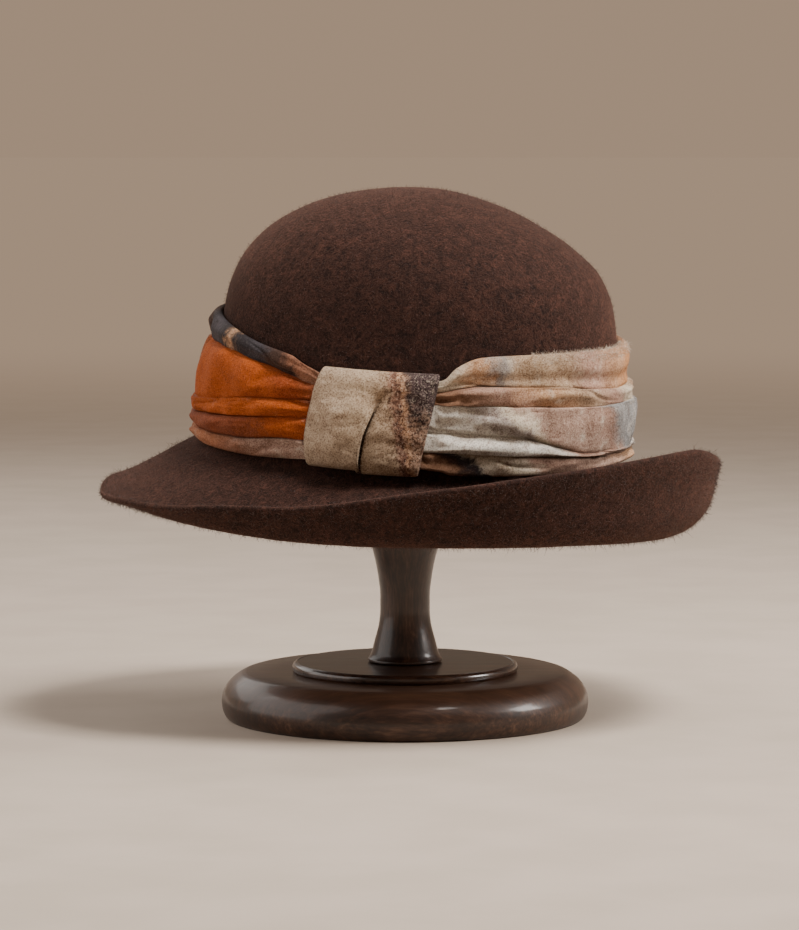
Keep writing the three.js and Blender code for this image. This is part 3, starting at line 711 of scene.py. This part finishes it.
# %% A cloth's own map, and its weave
THREAD = 0.55  # millimetres from one thread to the next but one


def cloth_map(place):
    """Along and across the cloth, from 0 to 1, from the piece's own map."""
    uv = place.make("ShaderNodeUVMap", {"uv_map": "cloth"})
    return [place.make("ShaderNodeSeparateXYZ", None, {0: uv}, axis) for axis in (0, 1)]


def weave_of(u, v, length, width):
    """Threads over and under each other, on a cloth of a length and width in millimetres."""
    warp_threads = u.maths("SINE", u * (length / THREAD * math.tau))
    weft_threads = v.maths("SINE", v * (width / THREAD * math.tau))
    return warp_threads * weft_threads * 0.5 + 0.5


print("threads round the scarf:", round(2 * scarf_length / THREAD))

# %% Dyes of the scarf
cloth_fixed = {"Roughness": 0.8, "Sheen Weight": 0.07, "Sheen Roughness": 0.5,
               "Sheen Tint": paint(220, 200, 185), "Specular IOR Level": 0.2}
scarf, scarf_shader, place = finish_named("printed_scarf_cloth", cloth_fixed)
u, v = cloth_map(place)
drift = place.grain(16.0, 4.0, 0.6, 1.2)
wash = place.grain(7.0, 5.0, 0.62, 0.6)
fold = v * FOLD_COUNT + (wash - 0.5) * 0.10
bent = u + (drift - 0.5) * 0.045 + (wash - 0.5) * 0.02
colour = bent.ramp(FOLD_RUNS[0])
SLANTS = (0, 0.018, 0.040, 0.018, 0.032)  # how far the dye runs sideways down each fold
for k in range(1, FOLD_COUNT):
    slant = (v * FOLD_COUNT - (k + 0.5)) * SLANTS[k]
    colour = colour.blend((bent - slant).ramp(FOLD_RUNS[k]), fold.between(k - 0.02, k + 0.02))
print("dyes:", len(scarf.node_tree.nodes), "nodes")

# %% Blots, speckle and weave of the scarf
blots = place.grain(9.0, 5.0, 0.68, 0.3)
speckle = place.grain(0.75, 3.0, 0.7)
veins = place.grain(5.0, 4.0, 0.7, 1.5)
pale = colour.make("ShaderNodeRGBToBW", None, {0: colour}).between(0.12, 0.34)
colour = colour.tint(paint(158, 122, 98), blots.between(0.50, 0.66) * (0.25 + pale * 0.20))
colour = colour.tint(paint(150, 112, 88), veins.between(0.52, 0.62) * (0.12 + pale * 0.24))
colour = colour.blend(paint(214, 202, 184), blots.between(0.46, 0.30) * pale * 0.55)
colour = colour.tint(paint(120, 88, 70), speckle.between(0.48, 0.64) * 0.6)
colour = colour.blend(paint(226, 214, 196), speckle.between(0.46, 0.32) * (0.06 + pale * 0.3))
weave = weave_of(u, v, scarf_length, scarf_width)
crumple = place.grain(3.2, 3.0, 0.55, 0.4)
relief = weave * 0.25 + speckle * 0.30 + crumple * 0.9
wire(scarf_shader, Base_Color=colour, Roughness=0.72 + speckle * 0.16,
     Normal=relief.bumped(0.7, 0.9))
print("scarf:", len(scarf.node_tree.nodes), "nodes")

# %% Scarf piece
band = joined("scarf_folds", on_stand(scarf_grid), loop=True, uv=scarf_uv, material=scarf)
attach(band, "root")
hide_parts("scarf_band")

# %% [markdown]
# ## The wrap
# A strip of the same cloth is folded flat and taken once round the gathered scarf, one half
# lapped over the other. It is a closed loop, in front of the folds and behind them. Its
# middle surface is placed first; the thickness is then put on both sides and brought to
# nothing at the edges, which makes them round.

# %% Rows and columns of the wrap
FACE_STEPS, BACK_STEPS, SIDE_COLUMNS, LAP_COLUMNS = 96, 30, 34, 24
LAP_FOOT, LAP_TOP, LAP_BEND = 0.48, 0.62, 2.2  # where the lap's edge runs, as shares across
LAP_BAND = 0.03  # on each side of that edge the columns are closer together
pressed_foot, pressed_top = CREASES[6, 1], CREASES[6, 6]  # the band under the wrap
wrap_top = BAND_FOOT + BAND_WIDTH * pressed_top + WRAP_SLACK + WRAP_CLOTH / 2
wrap_foot = BAND_FOOT + BAND_WIDTH * pressed_foot - WRAP_SLACK - WRAP_CLOTH / 2
face_high = 0.5 - 0.5 * np.cos(np.pi * np.linspace(0, 1, FACE_STEPS + 1))
back_high = np.linspace(1, 0, BACK_STEPS + 2)[1:-1]
high = np.concatenate([face_high, back_high])[:, None]
is_face = (np.arange(len(high)) < len(face_high))[:, None]
lap_line = mix(LAP_FOOT, LAP_TOP, high ** LAP_BEND)
left_part = np.linspace(0, 1, SIDE_COLUMNS)[None, :]
lap_part = np.linspace(-1, 1, LAP_COLUMNS + 2)[None, 1:-1]
across = np.concatenate([left_part * (lap_line - LAP_BAND), lap_line + LAP_BAND * lap_part,
                         mix(lap_line + LAP_BAND, 1, left_part)], 1)
high = np.broadcast_to(high, across.shape)
lap_line = np.broadcast_to(lap_line, across.shape)
print("wrap:", across.shape[0], "rows of", across.shape[1], "points")

# %% The lapped half, and the wrap's turns and heights
softness = mix(0.006, 0.15, ease((high - 0.50) / 0.33))
lapped = ease((lap_line + softness - across) / (2 * softness))
drop = WRAP_DROP * (1 - lapped) * ease((0.6 - high) / 0.5)
rise = mix(wrap_foot - drop, wrap_top, high)
edge_left = curve_through(WRAP_EDGES[:, 0], WRAP_EDGES[:, 1], high)
edge_right = curve_through(WRAP_EDGES[:, 0], WRAP_EDGES[:, 2], high)
wrap_turn = mix(edge_left, edge_right, across)
beside_lap = (across - lap_line) / LAP_BAND
tuck = np.exp(-((beside_lap + 0.25) / 0.28) ** 2) - np.exp(-((beside_lap - 0.30) / 0.28) ** 2)
wrap_turn = wrap_turn + 0.55 * tuck * ease((0.74 - high) / 0.2)
print("wrap, mm high:", round(wrap_foot, 1), "to", round(wrap_top, 1))

# %% How far the wrap is off the wall
room = 1.3 * CLEARANCE + WRAP_CLOTH / 2
felt_there = flare(wrap_turn, rise - WRAP_CLOTH - 2 * CLEARANCE)
fold_off = FOLD_DEPTH * around(FOLDS, 3, wrap_turn) + 1.3 * CLEARANCE + WRAP_CLOTH / 2
corner = np.sqrt(np.maximum(0, 1 - np.abs(2 * high - 1) ** 6))
lap = 3.4 * lapped * ease((0.86 - high) / 0.30) * ease(across / 0.3)


def bump_at(centre_across, centre_high, size_across, size_high):
    """A soft mound on the wrap, 1 at its centre, with everything as shares of the wrap."""
    return np.exp(-((across - centre_across) / size_across) ** 2
                  - ((high - centre_high) / size_high) ** 2)


relief = (lap + 1.7 * bump_at(lap_line + 0.12, 0.42, 0.07, 0.17)
          - 2.6 * bump_at(lap_line + 0.018, 0.30, 0.014, 0.28)
          - 3.0 * bump_at(lap_line + 0.015, 0.72, 0.055, 0.09)
          - 0.8 * bump_at(0.80, 0.25, 0.12, 0.2) + 0.7 * bump_at(0.27, 0.52, 0.18, 0.25))
edge_curl = np.abs(2 * across - 1) ** 9 * 0.9
back_off = room + felt_there
face_off = room + (fold_off + relief - edge_curl - room) * corner + (1 - corner) * felt_there
creep = np.stack([wrap_turn * 1.5, rise, 0 * rise], -1)
face_off = face_off + (1.1 * wobble(creep, 9, 6) + 0.45 * wobble(creep, 3.2, 7)) * corner
off = np.where(is_face, face_off, back_off)
print("the wrap's face is up to", round(off.max(), 1), "mm off the wall")

# %% Both sides of the strip
wrap_middle = off_wall(wrap_turn, rise, off)
down = np.roll(wrap_middle, -1, 0) - np.roll(wrap_middle, 1, 0)
wide = np.gradient(wrap_middle, axis=1)
wrap_normals = np.cross(wide, down)
wrap_normals /= np.linalg.norm(wrap_normals, axis=-1, keepdims=True)
edge_share = np.clip(1 - np.abs(2 * across - 1) ** 26, 0, 1)
half_cloth = WRAP_CLOTH / 2 * np.sqrt(edge_share)[..., None]
front_side = wrap_middle + wrap_normals * half_cloth
rear_side = wrap_middle - wrap_normals * half_cloth
wrap_grid = np.concatenate([front_side, rear_side[:, -2:0:-1]], 1)
print("wrap:", wrap_grid.shape[1], "points round its section")

# %% The strip's map and its size when flat
loop_share = np.concatenate([face_high, 1 + (1 - back_high)])
loop_share = np.append(loop_share, 2.0)
u_front = np.concatenate([across, across[:, -2:0:-1], across[:, :1]], 1)
u_front = np.concatenate([u_front, u_front[:1]])
wrap_uv = np.stack([u_front, np.broadcast_to(loop_share[:, None], u_front.shape)], -1)
wrap_length = np.linalg.norm(down, axis=-1).sum(0).mean() / 2
wrap_width = np.linalg.norm(np.diff(wrap_middle, axis=1), axis=-1).sum(1).mean()
print("wrap cloth, mm:", round(wrap_length), "round and", round(wrap_width), "wide")

# %% [markdown]
# ## The wrap's print
# The strip shows a paler stretch of the cloth. Its colours run slantwise to a dark patch at
# one side, and beside the lap's edge the cloth carries a painted shadow, where the upper half
# would shade the lower one. The pattern lies on the strip's own map, so the painted shadow
# follows the edge of the lap exactly.

# %% Dyes of the wrap
wrap_cloth, wrap_shader, place = finish_named("printed_wrap_cloth", cloth_fixed)
u, v = cloth_map(place)
drift = place.grain(9.0, 4.0, 0.6, 0.8)
wash = place.grain(5.0, 5.0, 0.62, 0.5)
speckle = place.grain(0.8, 3.0, 0.7)
dots = place.grain(1.5, 2.0, 0.6)
diagonal = u - (1 - v) * 0.28 - 0.09 + (drift - 0.5) * 0.18
colour = diagonal.ramp([
    (0.00, paint(176, 154, 130)), (0.26, paint(180, 158, 132)), (0.46, paint(170, 145, 119)),
    (0.51, paint(144, 108, 88)), (0.54, paint(116, 80, 64)), (0.58, paint(184, 144, 112)),
    (0.63, paint(152, 120, 98)), (0.80, paint(142, 114, 96)), (1.00, paint(134, 106, 90))])
shore = v + (wash - 0.5) * 0.5 + (dots - 0.5) * 0.5
night = diagonal.between(0.60, 0.66) * shore.between(0.36, 0.72)
colour = colour.blend(paint(60, 47, 52), night * 0.9)
colour = colour.tint(paint(120, 84, 66), dots.between(0.46, 0.62) * diagonal.between(
    0.28, 0.54) * 0.8)
colour = colour.tint(paint(176, 150, 128), wash.between(0.50, 0.72) * 0.5)
print("dyes:", len(wrap_cloth.node_tree.nodes), "nodes")

# %% Blots, speckle, painted lap shadow and weave of the wrap
colour = colour.blend(paint(214, 198, 176), wash.between(0.46, 0.26) * 0.22)
colour = colour.tint(paint(112, 84, 66), speckle.between(0.49, 0.62) * 0.6)
PAINTED_SHADOW_SHIFT = 0.026  # the painted shadow lies this share of the width beside the lap's edge
lap_here = v.maths("POWER", v, LAP_BEND) * (LAP_TOP - LAP_FOOT) + (LAP_FOOT + PAINTED_SHADOW_SHIFT)
lap_edge = (u - lap_here).size()
painted_lap_shadow = lap_edge.between(0.022, 0.006) * 0.7 + lap_edge.between(0.07, 0.01) * 0.3
# painted shadow: the cloth beside the lap's edge is darkened where the upper half would shade the
# lower
colour = colour.tint(paint(84, 60, 46), painted_lap_shadow * v.between(0.74, 0.56))
colour = colour.blend(paint(218, 204, 184), speckle.between(0.47, 0.34) * 0.35)
weave = weave_of(u, v, wrap_width, wrap_length / 2)
relief_height = weave * 0.3 + speckle * 0.45 + wash * 0.25
wire(wrap_shader, Base_Color=colour, Roughness=0.74 + speckle * 0.14,
     Normal=relief_height.bumped(0.35, 0.8))
print("wrap:", len(wrap_cloth.node_tree.nodes), "nodes")

# %% Wrap piece
knot = joined("scarf_wrap", on_stand(wrap_grid), loop=True, uv=wrap_uv, material=wrap_cloth)
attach(knot, "root")
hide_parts("band_knot")

# %% [markdown]
# ## The stand
# The stand is turned on a lathe: a thick round foot with a rounded edge and an inner bead, a
# spindle, and a domed head inside the hat. A lathe's cut is a smooth curve through a few
# chosen radii, so each piece is its profile swept round and closed on the axis at both ends.

# %% Sizes and curves of the stand
BASE_RADIUS, RIM_HEIGHT, NOSE_DEPTH = 92.9, 23.1, 12.4
BEAD_RADIUS, BEAD_HEIGHT = 57.1, 4.6
TENON_RADIUS, MORTISE_DEPTH, JOINT_AIR = 9.0, 15.0, 0.35
NECK_RADIUS, STEM_HEIGHT, HEAD_RADIUS, HEAD_HEIGHT = 12.6, 191.3, 46.0, 42.8
NOSE = [(0.24, 0), (0.13, 0.06), (0.024, 0.217), (0, 0.368), (0.056, 0.541), (0.177, 0.675),
        (0.37, 0.805), (0.58, 0.892), (0.82, 0.97), (1, 1)]
BEAD = [(0.2, 0), (0.02, 0.24), (0, 0.52), (0.13, 0.83), (0.37, 0.96), (0.5, 0.83), (0.65, 1)]
STEM = [(0.008, 1.49), (0.013, 1.44), (0.022, 1.365), (0.04, 1.29), (0.059, 1.214),
        (0.08, 1.127), (0.1, 1.056), (0.137, 1), (0.179, 1), (0.216, 1.056), (0.258, 1.16),
        (0.3, 1.31), (0.357, 1.49), (0.409, 1.62), (0.446, 1.6), (0.493, 1.38), (0.556, 1.16),
        (0.65, 1), (0.796, 0.905), (0.922, 0.95), (0.974, 1.24)]
HEAD = [(0.62, 0), (0.86, 0.06), (0.97, 0.2), (1, 0.36), (0.965, 0.56), (0.86, 0.75),
        (0.68, 0.885), (0.42, 0.968), (0.18, 0.995), (0.05, 1)]
print("chosen radii:", len(NOSE) + len(BEAD) + len(STEM) + len(HEAD))

# %% Turned wood helpers
def smooth_cut(points, fine=6):
    """A lathe's curve through a few points, each given as radius and height."""
    points = np.array(points, float)
    lengths = np.concatenate([[0], np.cumsum(np.linalg.norm(np.diff(points, axis=0), axis=1))])
    at = np.interp(np.linspace(0, len(points) - 1, fine * (len(points) - 1) + 1),
                   np.arange(len(points)), lengths)
    return [tuple(p) for p in np.stack([curve_through(lengths, points[:, 0], at),
                                        curve_through(lengths, points[:, 1], at)], -1)]


def turned(name, profile, steps, material):
    """A profile of radius and height swept round, closed at both ends on the axis."""
    radii, heights = np.array(profile[1:-1]).T
    a = np.arange(steps) * 2 * math.pi / steps
    grid = np.stack([radii[:, None] * np.cos(a), radii[:, None] * np.sin(a),
                     np.broadcast_to(heights[:, None], (len(radii), steps))], -1)
    poles = np.array([[0, 0, profile[0][1]], [0, 0, profile[-1][1]]])
    return joined(name, grid * MM, poles=poles * MM, material=material, sharp=38)


print("a cut through", len(NOSE), "chosen radii has", len(smooth_cut(NOSE)), "points")

# %% [markdown]
# ## Stained wood
# Under a satin varnish the stain is almost black, with faint long streaks and pores along the
# grain. The foot's rounded side is a little paler towards its top, and the bead on top still
# shines. Noise drawn out along the grain makes the streaks, and the height above the table
# says where the wood is paler or polished.

# %% Stained wood finish
PALER_FROM, PALER_TO = 9.0, 21.0  # heights between which the foot's side grows paler


def stained_wood(name, stretch):
    """Stained and varnished wood whose grain is drawn out as the stretch says."""
    material, shader, place = finish_named(name, {
        "Roughness": 0.36, "Coat Roughness": 0.13, "Specular IOR Level": 0.40})
    streaks = place.grain(5.0, 5.0, 0.6, 0.5, stretch)
    pores = place.grain(1.1, 3.0, 0.6, 0.2, stretch)
    wear = place.grain(26.0, 4.0, 0.6)
    tone = (streaks * 0.5 + pores * 0.5).ramp([
        (0.34, paint(26, 14, 8)), (0.47, paint(50, 30, 20)), (0.58, paint(73, 48, 34)),
        (0.70, paint(104, 76, 58))], "LINEAR")
    tone = tone.tint(wear.ramp([(0.38, paint(196, 188, 182)), (0.62, paint(255, 255, 255))]), 1.0)
    up = place.make("ShaderNodeSeparateXYZ", None, {0: place}, 2)
    rim, top = RIM_HEIGHT * MM, (RIM_HEIGHT + BEAD_HEIGHT) * MM
    paler_top_band = up.between(PALER_FROM * MM, PALER_TO * MM)
    paler_top_band = paler_top_band * up.between(rim + 0.9 * MM, rim + 0.1 * MM)
    tone = tone.blend(paint(102, 73, 55), paler_top_band * (0.35 + streaks * 0.9) * 0.45)
    polished = up.between(rim, rim + 0.9 * MM) * up.between(top - 0.1 * MM, top - 0.7 * MM)
    wire(shader, Base_Color=tone, Roughness=0.28 + pores * 0.16 + wear * 0.12 - polished * 0.12,
         Coat_Weight=0.30 + polished * 0.40,
         Normal=(streaks * 0.4 + pores * 0.6).bumped(0.11, 0.7))
    return material


long_grain = stained_wood("stained_wood_upright", (1.0, 1.0, 0.09))
cross_grain = stained_wood("stained_wood_across", (0.09, 1.0, 0.6))
print("wood:", len(long_grain.node_tree.nodes), "nodes")

# %% Base
base_top = RIM_HEIGHT + BEAD_HEIGHT
mortise = TENON_RADIUS + JOINT_AIR
nose = smooth_cut([(BASE_RADIUS - a * NOSE_DEPTH, b * RIM_HEIGHT) for a, b in NOSE])
bead = smooth_cut([(BEAD_RADIUS - a * BEAD_HEIGHT, RIM_HEIGHT + b * BEAD_HEIGHT)
                   for a, b in BEAD[:5]])
inner_edge = smooth_cut([(BEAD_RADIUS - a * BEAD_HEIGHT, RIM_HEIGHT + b * BEAD_HEIGHT)
                         for a, b in BEAD[4:]], 3)
socket = [(mortise, base_top), (mortise, base_top - MORTISE_DEPTH), (0, base_top - MORTISE_DEPTH)]
# extra rings halfway over the flats keep their faces short
below = [(0, 0), (30, 0), (60, 0)]
shoulder = [(BEAD_RADIUS + 8, RIM_HEIGHT)]
upper_flat = [(40, base_top), (24, base_top)]
base_profile = below + nose + shoulder + bead + inner_edge[1:] + upper_flat + socket
base = turned("turned_base", base_profile, 192, cross_grain)

# %% Stem
FOOT_EDGE, FOOT_EDGE_HEIGHT = 1.44, 0.5  # the foot's edge, in neck radii and millimetres
stem_foot, head_foot = base_top + JOINT_AIR, base_top + STEM_HEIGHT
spindle = smooth_cut([(NECK_RADIUS * STEM[0][1], stem_foot + FOOT_EDGE_HEIGHT)] + [
    (NECK_RADIUS * r, base_top + STEM_HEIGHT * up) for up, r in STEM] + [
    (NECK_RADIUS * STEM[-1][1], head_foot - JOINT_AIR)], 4)
stem = turned("turned_stem", [
    (0, stem_foot - MORTISE_DEPTH), (TENON_RADIUS, stem_foot - MORTISE_DEPTH),
    (TENON_RADIUS, stem_foot), (NECK_RADIUS * FOOT_EDGE, stem_foot)] + spindle + [
    (TENON_RADIUS, head_foot - JOINT_AIR),
    (TENON_RADIUS, head_foot + MORTISE_DEPTH - JOINT_AIR),
    (0, head_foot + MORTISE_DEPTH - JOINT_AIR)], 96, long_grain)

# %% Head, and the stand's three pieces
dome = smooth_cut([(HEAD_RADIUS * r, head_foot + HEAD_HEIGHT * up) for r, up in HEAD], 5)
head = turned("turned_head", [
    (0, head_foot + MORTISE_DEPTH), (mortise, head_foot + MORTISE_DEPTH),
    (mortise, head_foot)] + dome + [(0, head_foot + HEAD_HEIGHT)], 96, long_grain)
for piece, node in ((base, "stand_base"), (stem, "stand_stem"), (head, "stand_head")):
    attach(piece, "root")
    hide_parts(node)

# %% [markdown]
# ## The nap
# Loose hairs stand off every edge of a wool felt and soften its outline. There are thousands,
# each about a tenth of a millimetre thick, so Geometry Nodes scatter a small bent hair over
# the felt: points on the faces, a hair on each, turned by chance within limits. The crown, the
# brim, its edge and its underside each get their own piece, and a last one adds a few long
# thin wisps, because a brim that is often handled is hairier than the crown.

# %% One hair, and a thinner wisp
def bent_hair(name, thickness, bend):
    """A hair one unit long with three sides and a bend, thinner towards its tip."""
    points = []
    for lean, up, thick in ((0.0, 0.0, thickness), (0.3 * bend, 0.55, 0.75 * thickness)):
        for k in range(3):
            a = k * math.tau / 3
            points.append((lean + thick * math.cos(a), thick * math.sin(a), up))
    points.append((bend, 0.0, 1.0))
    faces = [(k, (k + 1) % 3, (k + 1) % 3 + 3, k + 3) for k in range(3)]
    faces += [(3 + k, 3 + (k + 1) % 3, 6) for k in range(3)]
    faces.append((2, 1, 0))
    mesh = bpy.data.meshes.new(name)
    mesh.from_pydata(points, [], faces)
    return bpy.data.objects.new(name, mesh)


hair = bent_hair("one_hair", 0.032, 0.5)
wisp = bent_hair("one_wisp", 0.018, 0.8)
print("hair:", len(hair.data.polygons), "faces")

# %% Nap finish
nap_finish, nap_shader, place = finish_named("loose_wool_hairs", {
    "Roughness": 0.9, "Sheen Weight": 0.3, "Specular IOR Level": 0.2})
tone = place.grain(1.2, 2.0).ramp([(0.38, paint(38, 22, 17)), (0.62, paint(81, 55, 44))])
wire(nap_shader, Base_Color=tone)
print("hairs:", len(nap_finish.node_tree.nodes), "nodes")

# %% Tree that scatters the hairs
HAIR_INPUTS = {"Felt": "Geometry", "Hairs per square metre": "Float", "Shortest": "Float",
               "Longest": "Float", "Lean": "Float", "Seed": "Int", "Hair": "Object",
               "Finish": "Material"}


def hair_tree():
    """Hairs on points of a mesh, each turned, leant and sized by chance."""
    tree = bpy.data.node_groups.new("scattered_hairs", "GeometryNodeTree")
    for name, kind in HAIR_INPUTS.items():
        tree.interface.new_socket(name, in_out="INPUT", socket_type="NodeSocket" + kind)
    tree.interface.new_socket("Hairs", in_out="OUTPUT", socket_type="NodeSocketGeometry")

    def add(kind, sockets, **settings):
        """Adds a node: its settings first, then the values or links of its sockets."""
        node = tree.nodes.new(kind)
        for name, value in settings.items():
            setattr(node, name, value)
        for key, value in sockets.items():
            if isinstance(value, bpy.types.NodeSocket):
                tree.links.new(value, node.inputs[key])
            else:
                node.inputs[key].default_value = value
        return node.outputs

    given = add("NodeGroupInput", {})
    scatter = add("GeometryNodeDistributePointsOnFaces", {
        "Mesh": given["Felt"], "Density": given["Hairs per square metre"], "Seed": given["Seed"]})
    shape = add("GeometryNodeObjectInfo", {"Object": given["Hair"]})
    spin = add("FunctionNodeRandomValue", {
        "Min": (-1, -1, 0), "Max": (1, 1, math.tau), "Seed": given["Seed"]},
        data_type="FLOAT_VECTOR")
    lean = add("ShaderNodeCombineXYZ", {"X": given["Lean"], "Y": given["Lean"], "Z": 1.0})
    tilt = add("ShaderNodeVectorMath", {0: spin["Value"], 1: lean["Vector"]},
               operation="MULTIPLY")
    turn = add("FunctionNodeEulerToRotation", {"Euler": tilt["Vector"]})
    pose = add("FunctionNodeRotateRotation", {
        "Rotation": scatter["Rotation"], "Rotate By": turn["Rotation"]}, rotation_space="LOCAL")
    size = add("FunctionNodeRandomValue", {  # 2, 3 and 1 are the sockets for plain numbers
        2: given["Shortest"], 3: given["Longest"], "Seed": given["Seed"]}, data_type="FLOAT")
    hairs = add("GeometryNodeInstanceOnPoints", {
        "Points": scatter["Points"], "Instance": shape["Geometry"],
        "Rotation": pose["Rotation"], "Scale": size[1]})
    real = add("GeometryNodeRealizeInstances", {"Geometry": hairs["Instances"]})
    dressed = add("GeometryNodeSetMaterial", {
        "Geometry": real["Geometry"], "Material": given["Finish"]})
    add("NodeGroupOutput", {"Hairs": dressed["Geometry"]})
    return tree


nap_tree = hair_tree()
print("tree:", len(nap_tree.nodes), "nodes")

# %% A piece of hairs
HAIR_LEAN = 0.9  # the most that a hair leans each way, in radians


def nap_on(name, rows, count, shortest, longest, seed, shape=hair, finish=nap_finish,
           hollow=False):
    """A piece with about so many hairs, on some rows of the felt or the cloth."""
    bed = joined("bed_of_" + name, on_stand(rows), hollow=hollow)
    area = sum(face.area for face in bed.data.polygons)
    modifier = bed.modifiers.new("nap", "NODES")
    modifier.node_group = nap_tree
    identifiers = {item.name: item.identifier for item in nap_tree.interface.items_tree
                   if item.in_out == "INPUT"}
    for key, value in {"Hairs per square metre": count / area, "Shortest": shortest * MM,
                       "Longest": longest * MM, "Lean": HAIR_LEAN, "Seed": seed,
                       "Hair": shape, "Finish": finish}.items():
        modifier[identifiers[key]] = value
    graph = bpy.context.evaluated_depsgraph_get()
    mesh = bpy.data.meshes.new_from_object(bed.evaluated_get(graph), depsgraph=graph)
    mesh.name = name
    mesh.materials.pop(index=0)  # the bare hair's empty place, before the finish
    nap = bpy.data.objects.new(name, mesh)
    bpy.context.scene.collection.objects.link(nap)
    bpy.data.objects.remove(bed)
    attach(nap, "root")
    print(name, len(mesh.polygons) // len(shape.data.polygons), "hairs")

# %% Nap of the crown and the brim
crown_bed = outer[4:CROWN_ROWS + 1]
brim_bed = np.concatenate([outer[CROWN_ROWS:], edge_rows, inner[:CROWN_ROWS:-1]])
nap_on("nap_of_crown", crown_bed, 19000, 0.7, 1.9, 11)
nap_on("nap_of_brim", brim_bed, 19000, 0.7, 2.0, 12)

# %% Nap of the brim's edge and underside, and the wisps
edge_bed = np.concatenate([outer[-4:], edge_rows, inner[:-14:-1]])
nap_on("nap_of_brim_edge", edge_bed, 9000, 0.8, 2.1, 13)
under_bed = inner[:CROWN_ROWS + 20:-1]
nap_on("nap_under_brim", under_bed, 12000, 0.9, 2.9, 16, hollow=True)
nap_on("wisps_of_brim", brim_bed, 3600, 1.8, 4.6, 15, wisp)

# %% [markdown]
# ## Frayed threads
# The scarf's upper edge was cut and left raw, and from the wrap to the back of the hat short
# pale threads stand up along it. The tree that scatters the hairs scatters them too, on a
# narrow strip of rows that goes over the edge of the cloth.

# %% Threads on the scarf's upper edge
FRAYED_FROM, FRAYED_TO = 122, 180
thread_finish, thread_shader, place = finish_named("frayed_scarf_threads", {
    "Roughness": 0.85, "Sheen Weight": 0.1, "Specular IOR Level": 0.2})
wire(thread_shader, Base_Color=place.grain(1.5, 2.0).ramp([
    (0.36, paint(150, 132, 112)), (0.62, paint(222, 212, 198))]))
frayed = (scarf_turns > FRAYED_FROM) & (scarf_turns < FRAYED_TO)
hem_rows = np.concatenate([scarf_rows[3:10, frayed], scarf_back[9:2:-1, frayed]])
nap_on("frayed_threads", hem_rows.transpose(1, 0, 2), 2600, 0.8, 2.6, 14,
       finish=thread_finish)

# %% [markdown]
# ## Floor, light and camera
# A pale floor, and soft lights as in the photograph: the strongest from the upper right, one
# at each side, two behind the hat that draw its edges, and little from the front, so the felt
# stays dark in the middle. The camera stands two metres away with a long lens, looking
# slightly down.

# %% Floor
FLOOR_REACH, FLOOR_SIDES = 40.0, 64
BACKDROP = paint(168, 144, 122)
floor_finish, floor_shader, place = finish_named("pale_floor", {
    "Roughness": 0.9, "Specular IOR Level": 0.1, "Emission Strength": 1.0})
far = place.make("ShaderNodeVectorMath", {"operation": "LENGTH"}, {0: place}, 1).between(0.7, 3.6)
near_colour = place.grain(60.0, 3.0).ramp([
    (0.3, paint(182, 168, 154)), (0.7, paint(188, 174, 160))])
wire(floor_shader, Base_Color=near_colour.tint((0, 0, 0, 1), far),
     Emission_Color=far.ramp([(0.0, (0, 0, 0, 1)), (1.0, BACKDROP)], "LINEAR"))
floor_mesh = bpy.data.meshes.new("floor")
floor_mesh.from_pydata([
    (FLOOR_REACH * math.cos(a), FLOOR_REACH * math.sin(a), 0)
    for a in np.arange(FLOOR_SIDES) * math.tau / FLOOR_SIDES], [], [tuple(range(FLOOR_SIDES))])
floor_mesh.materials.append(floor_finish)
floor_piece = bpy.data.objects.new("floor", floor_mesh)
bpy.context.scene.collection.objects.link(floor_piece)
print("floor:", 2 * FLOOR_REACH, "m across")

# %% Room
world = bpy.data.worlds.new("pale_room")
world.use_nodes = True
sky = Strand(world.node_tree, world.node_tree.nodes.new("ShaderNodeTexCoord").outputs["Object"])
upward = sky.make("ShaderNodeSeparateXYZ", None, {0: sky}, 2)
room = upward.ramp([(0.10, BACKDROP), (0.30, paint(118, 108, 100))])
world.node_tree.links.new(room.socket, world.node_tree.nodes["Background"].inputs["Color"])
world.node_tree.nodes["Background"].inputs["Strength"].default_value = 1.0
bpy.context.scene.world = world
print("the room is lit by", world.name)

# %% Lamps
HAT_MIDDLE = Vector((0, 0, 0.18))


def soft_light(name, place_at, watts, size, colour):
    """A square lamp of a size in metres, aimed at the middle of the hat."""
    lamp = bpy.data.lights.new(name, "AREA")
    lamp.energy, lamp.size, lamp.color = watts, size, colour
    light = bpy.data.objects.new(name, lamp)
    light.location = place_at
    light.rotation_euler = (HAT_MIDDLE - Vector(place_at)).to_track_quat("-Z", "Y").to_euler()
    bpy.context.scene.collection.objects.link(light)
    print(name, watts, "watts")


soft_light("key", (0.50, -0.50, 1.45), 34, 0.45, (1.0, 0.95, 0.90))
soft_light("right_side", (1.30, -0.10, 0.66), 15, 0.45, (1.0, 0.94, 0.90))
soft_light("left_side", (-1.30, -0.10, 0.80), 14, 1.6, (1.0, 0.95, 0.92))
soft_light("right_back", (1.00, 0.50, 1.25), 8, 0.4, (1.0, 0.95, 0.90))
soft_light("left_back", (-0.80, 1.00, 1.00), 8, 1.3, (1.0, 0.96, 0.92))

# %% Camera
DISTANCE, PITCH, FOCAL_LENGTH = 2.020, 4.8, 154.84
lens = bpy.data.cameras.new("camera")
lens.sensor_fit, lens.sensor_width, lens.lens = "AUTO", 36.0, FOCAL_LENGTH
camera = bpy.data.objects.new("camera", lens)
target = Vector((-2.8, 0, 127.6)) * MM
look = Vector((0, math.cos(math.radians(PITCH)), -math.sin(math.radians(PITCH))))
camera.location = target - look * DISTANCE
camera.rotation_euler = look.to_track_quat("-Z", "Y").to_euler()
bpy.context.scene.collection.objects.link(camera)
bpy.context.scene.camera = camera
print("camera at, m:", [round(v, 3) for v in camera.location])
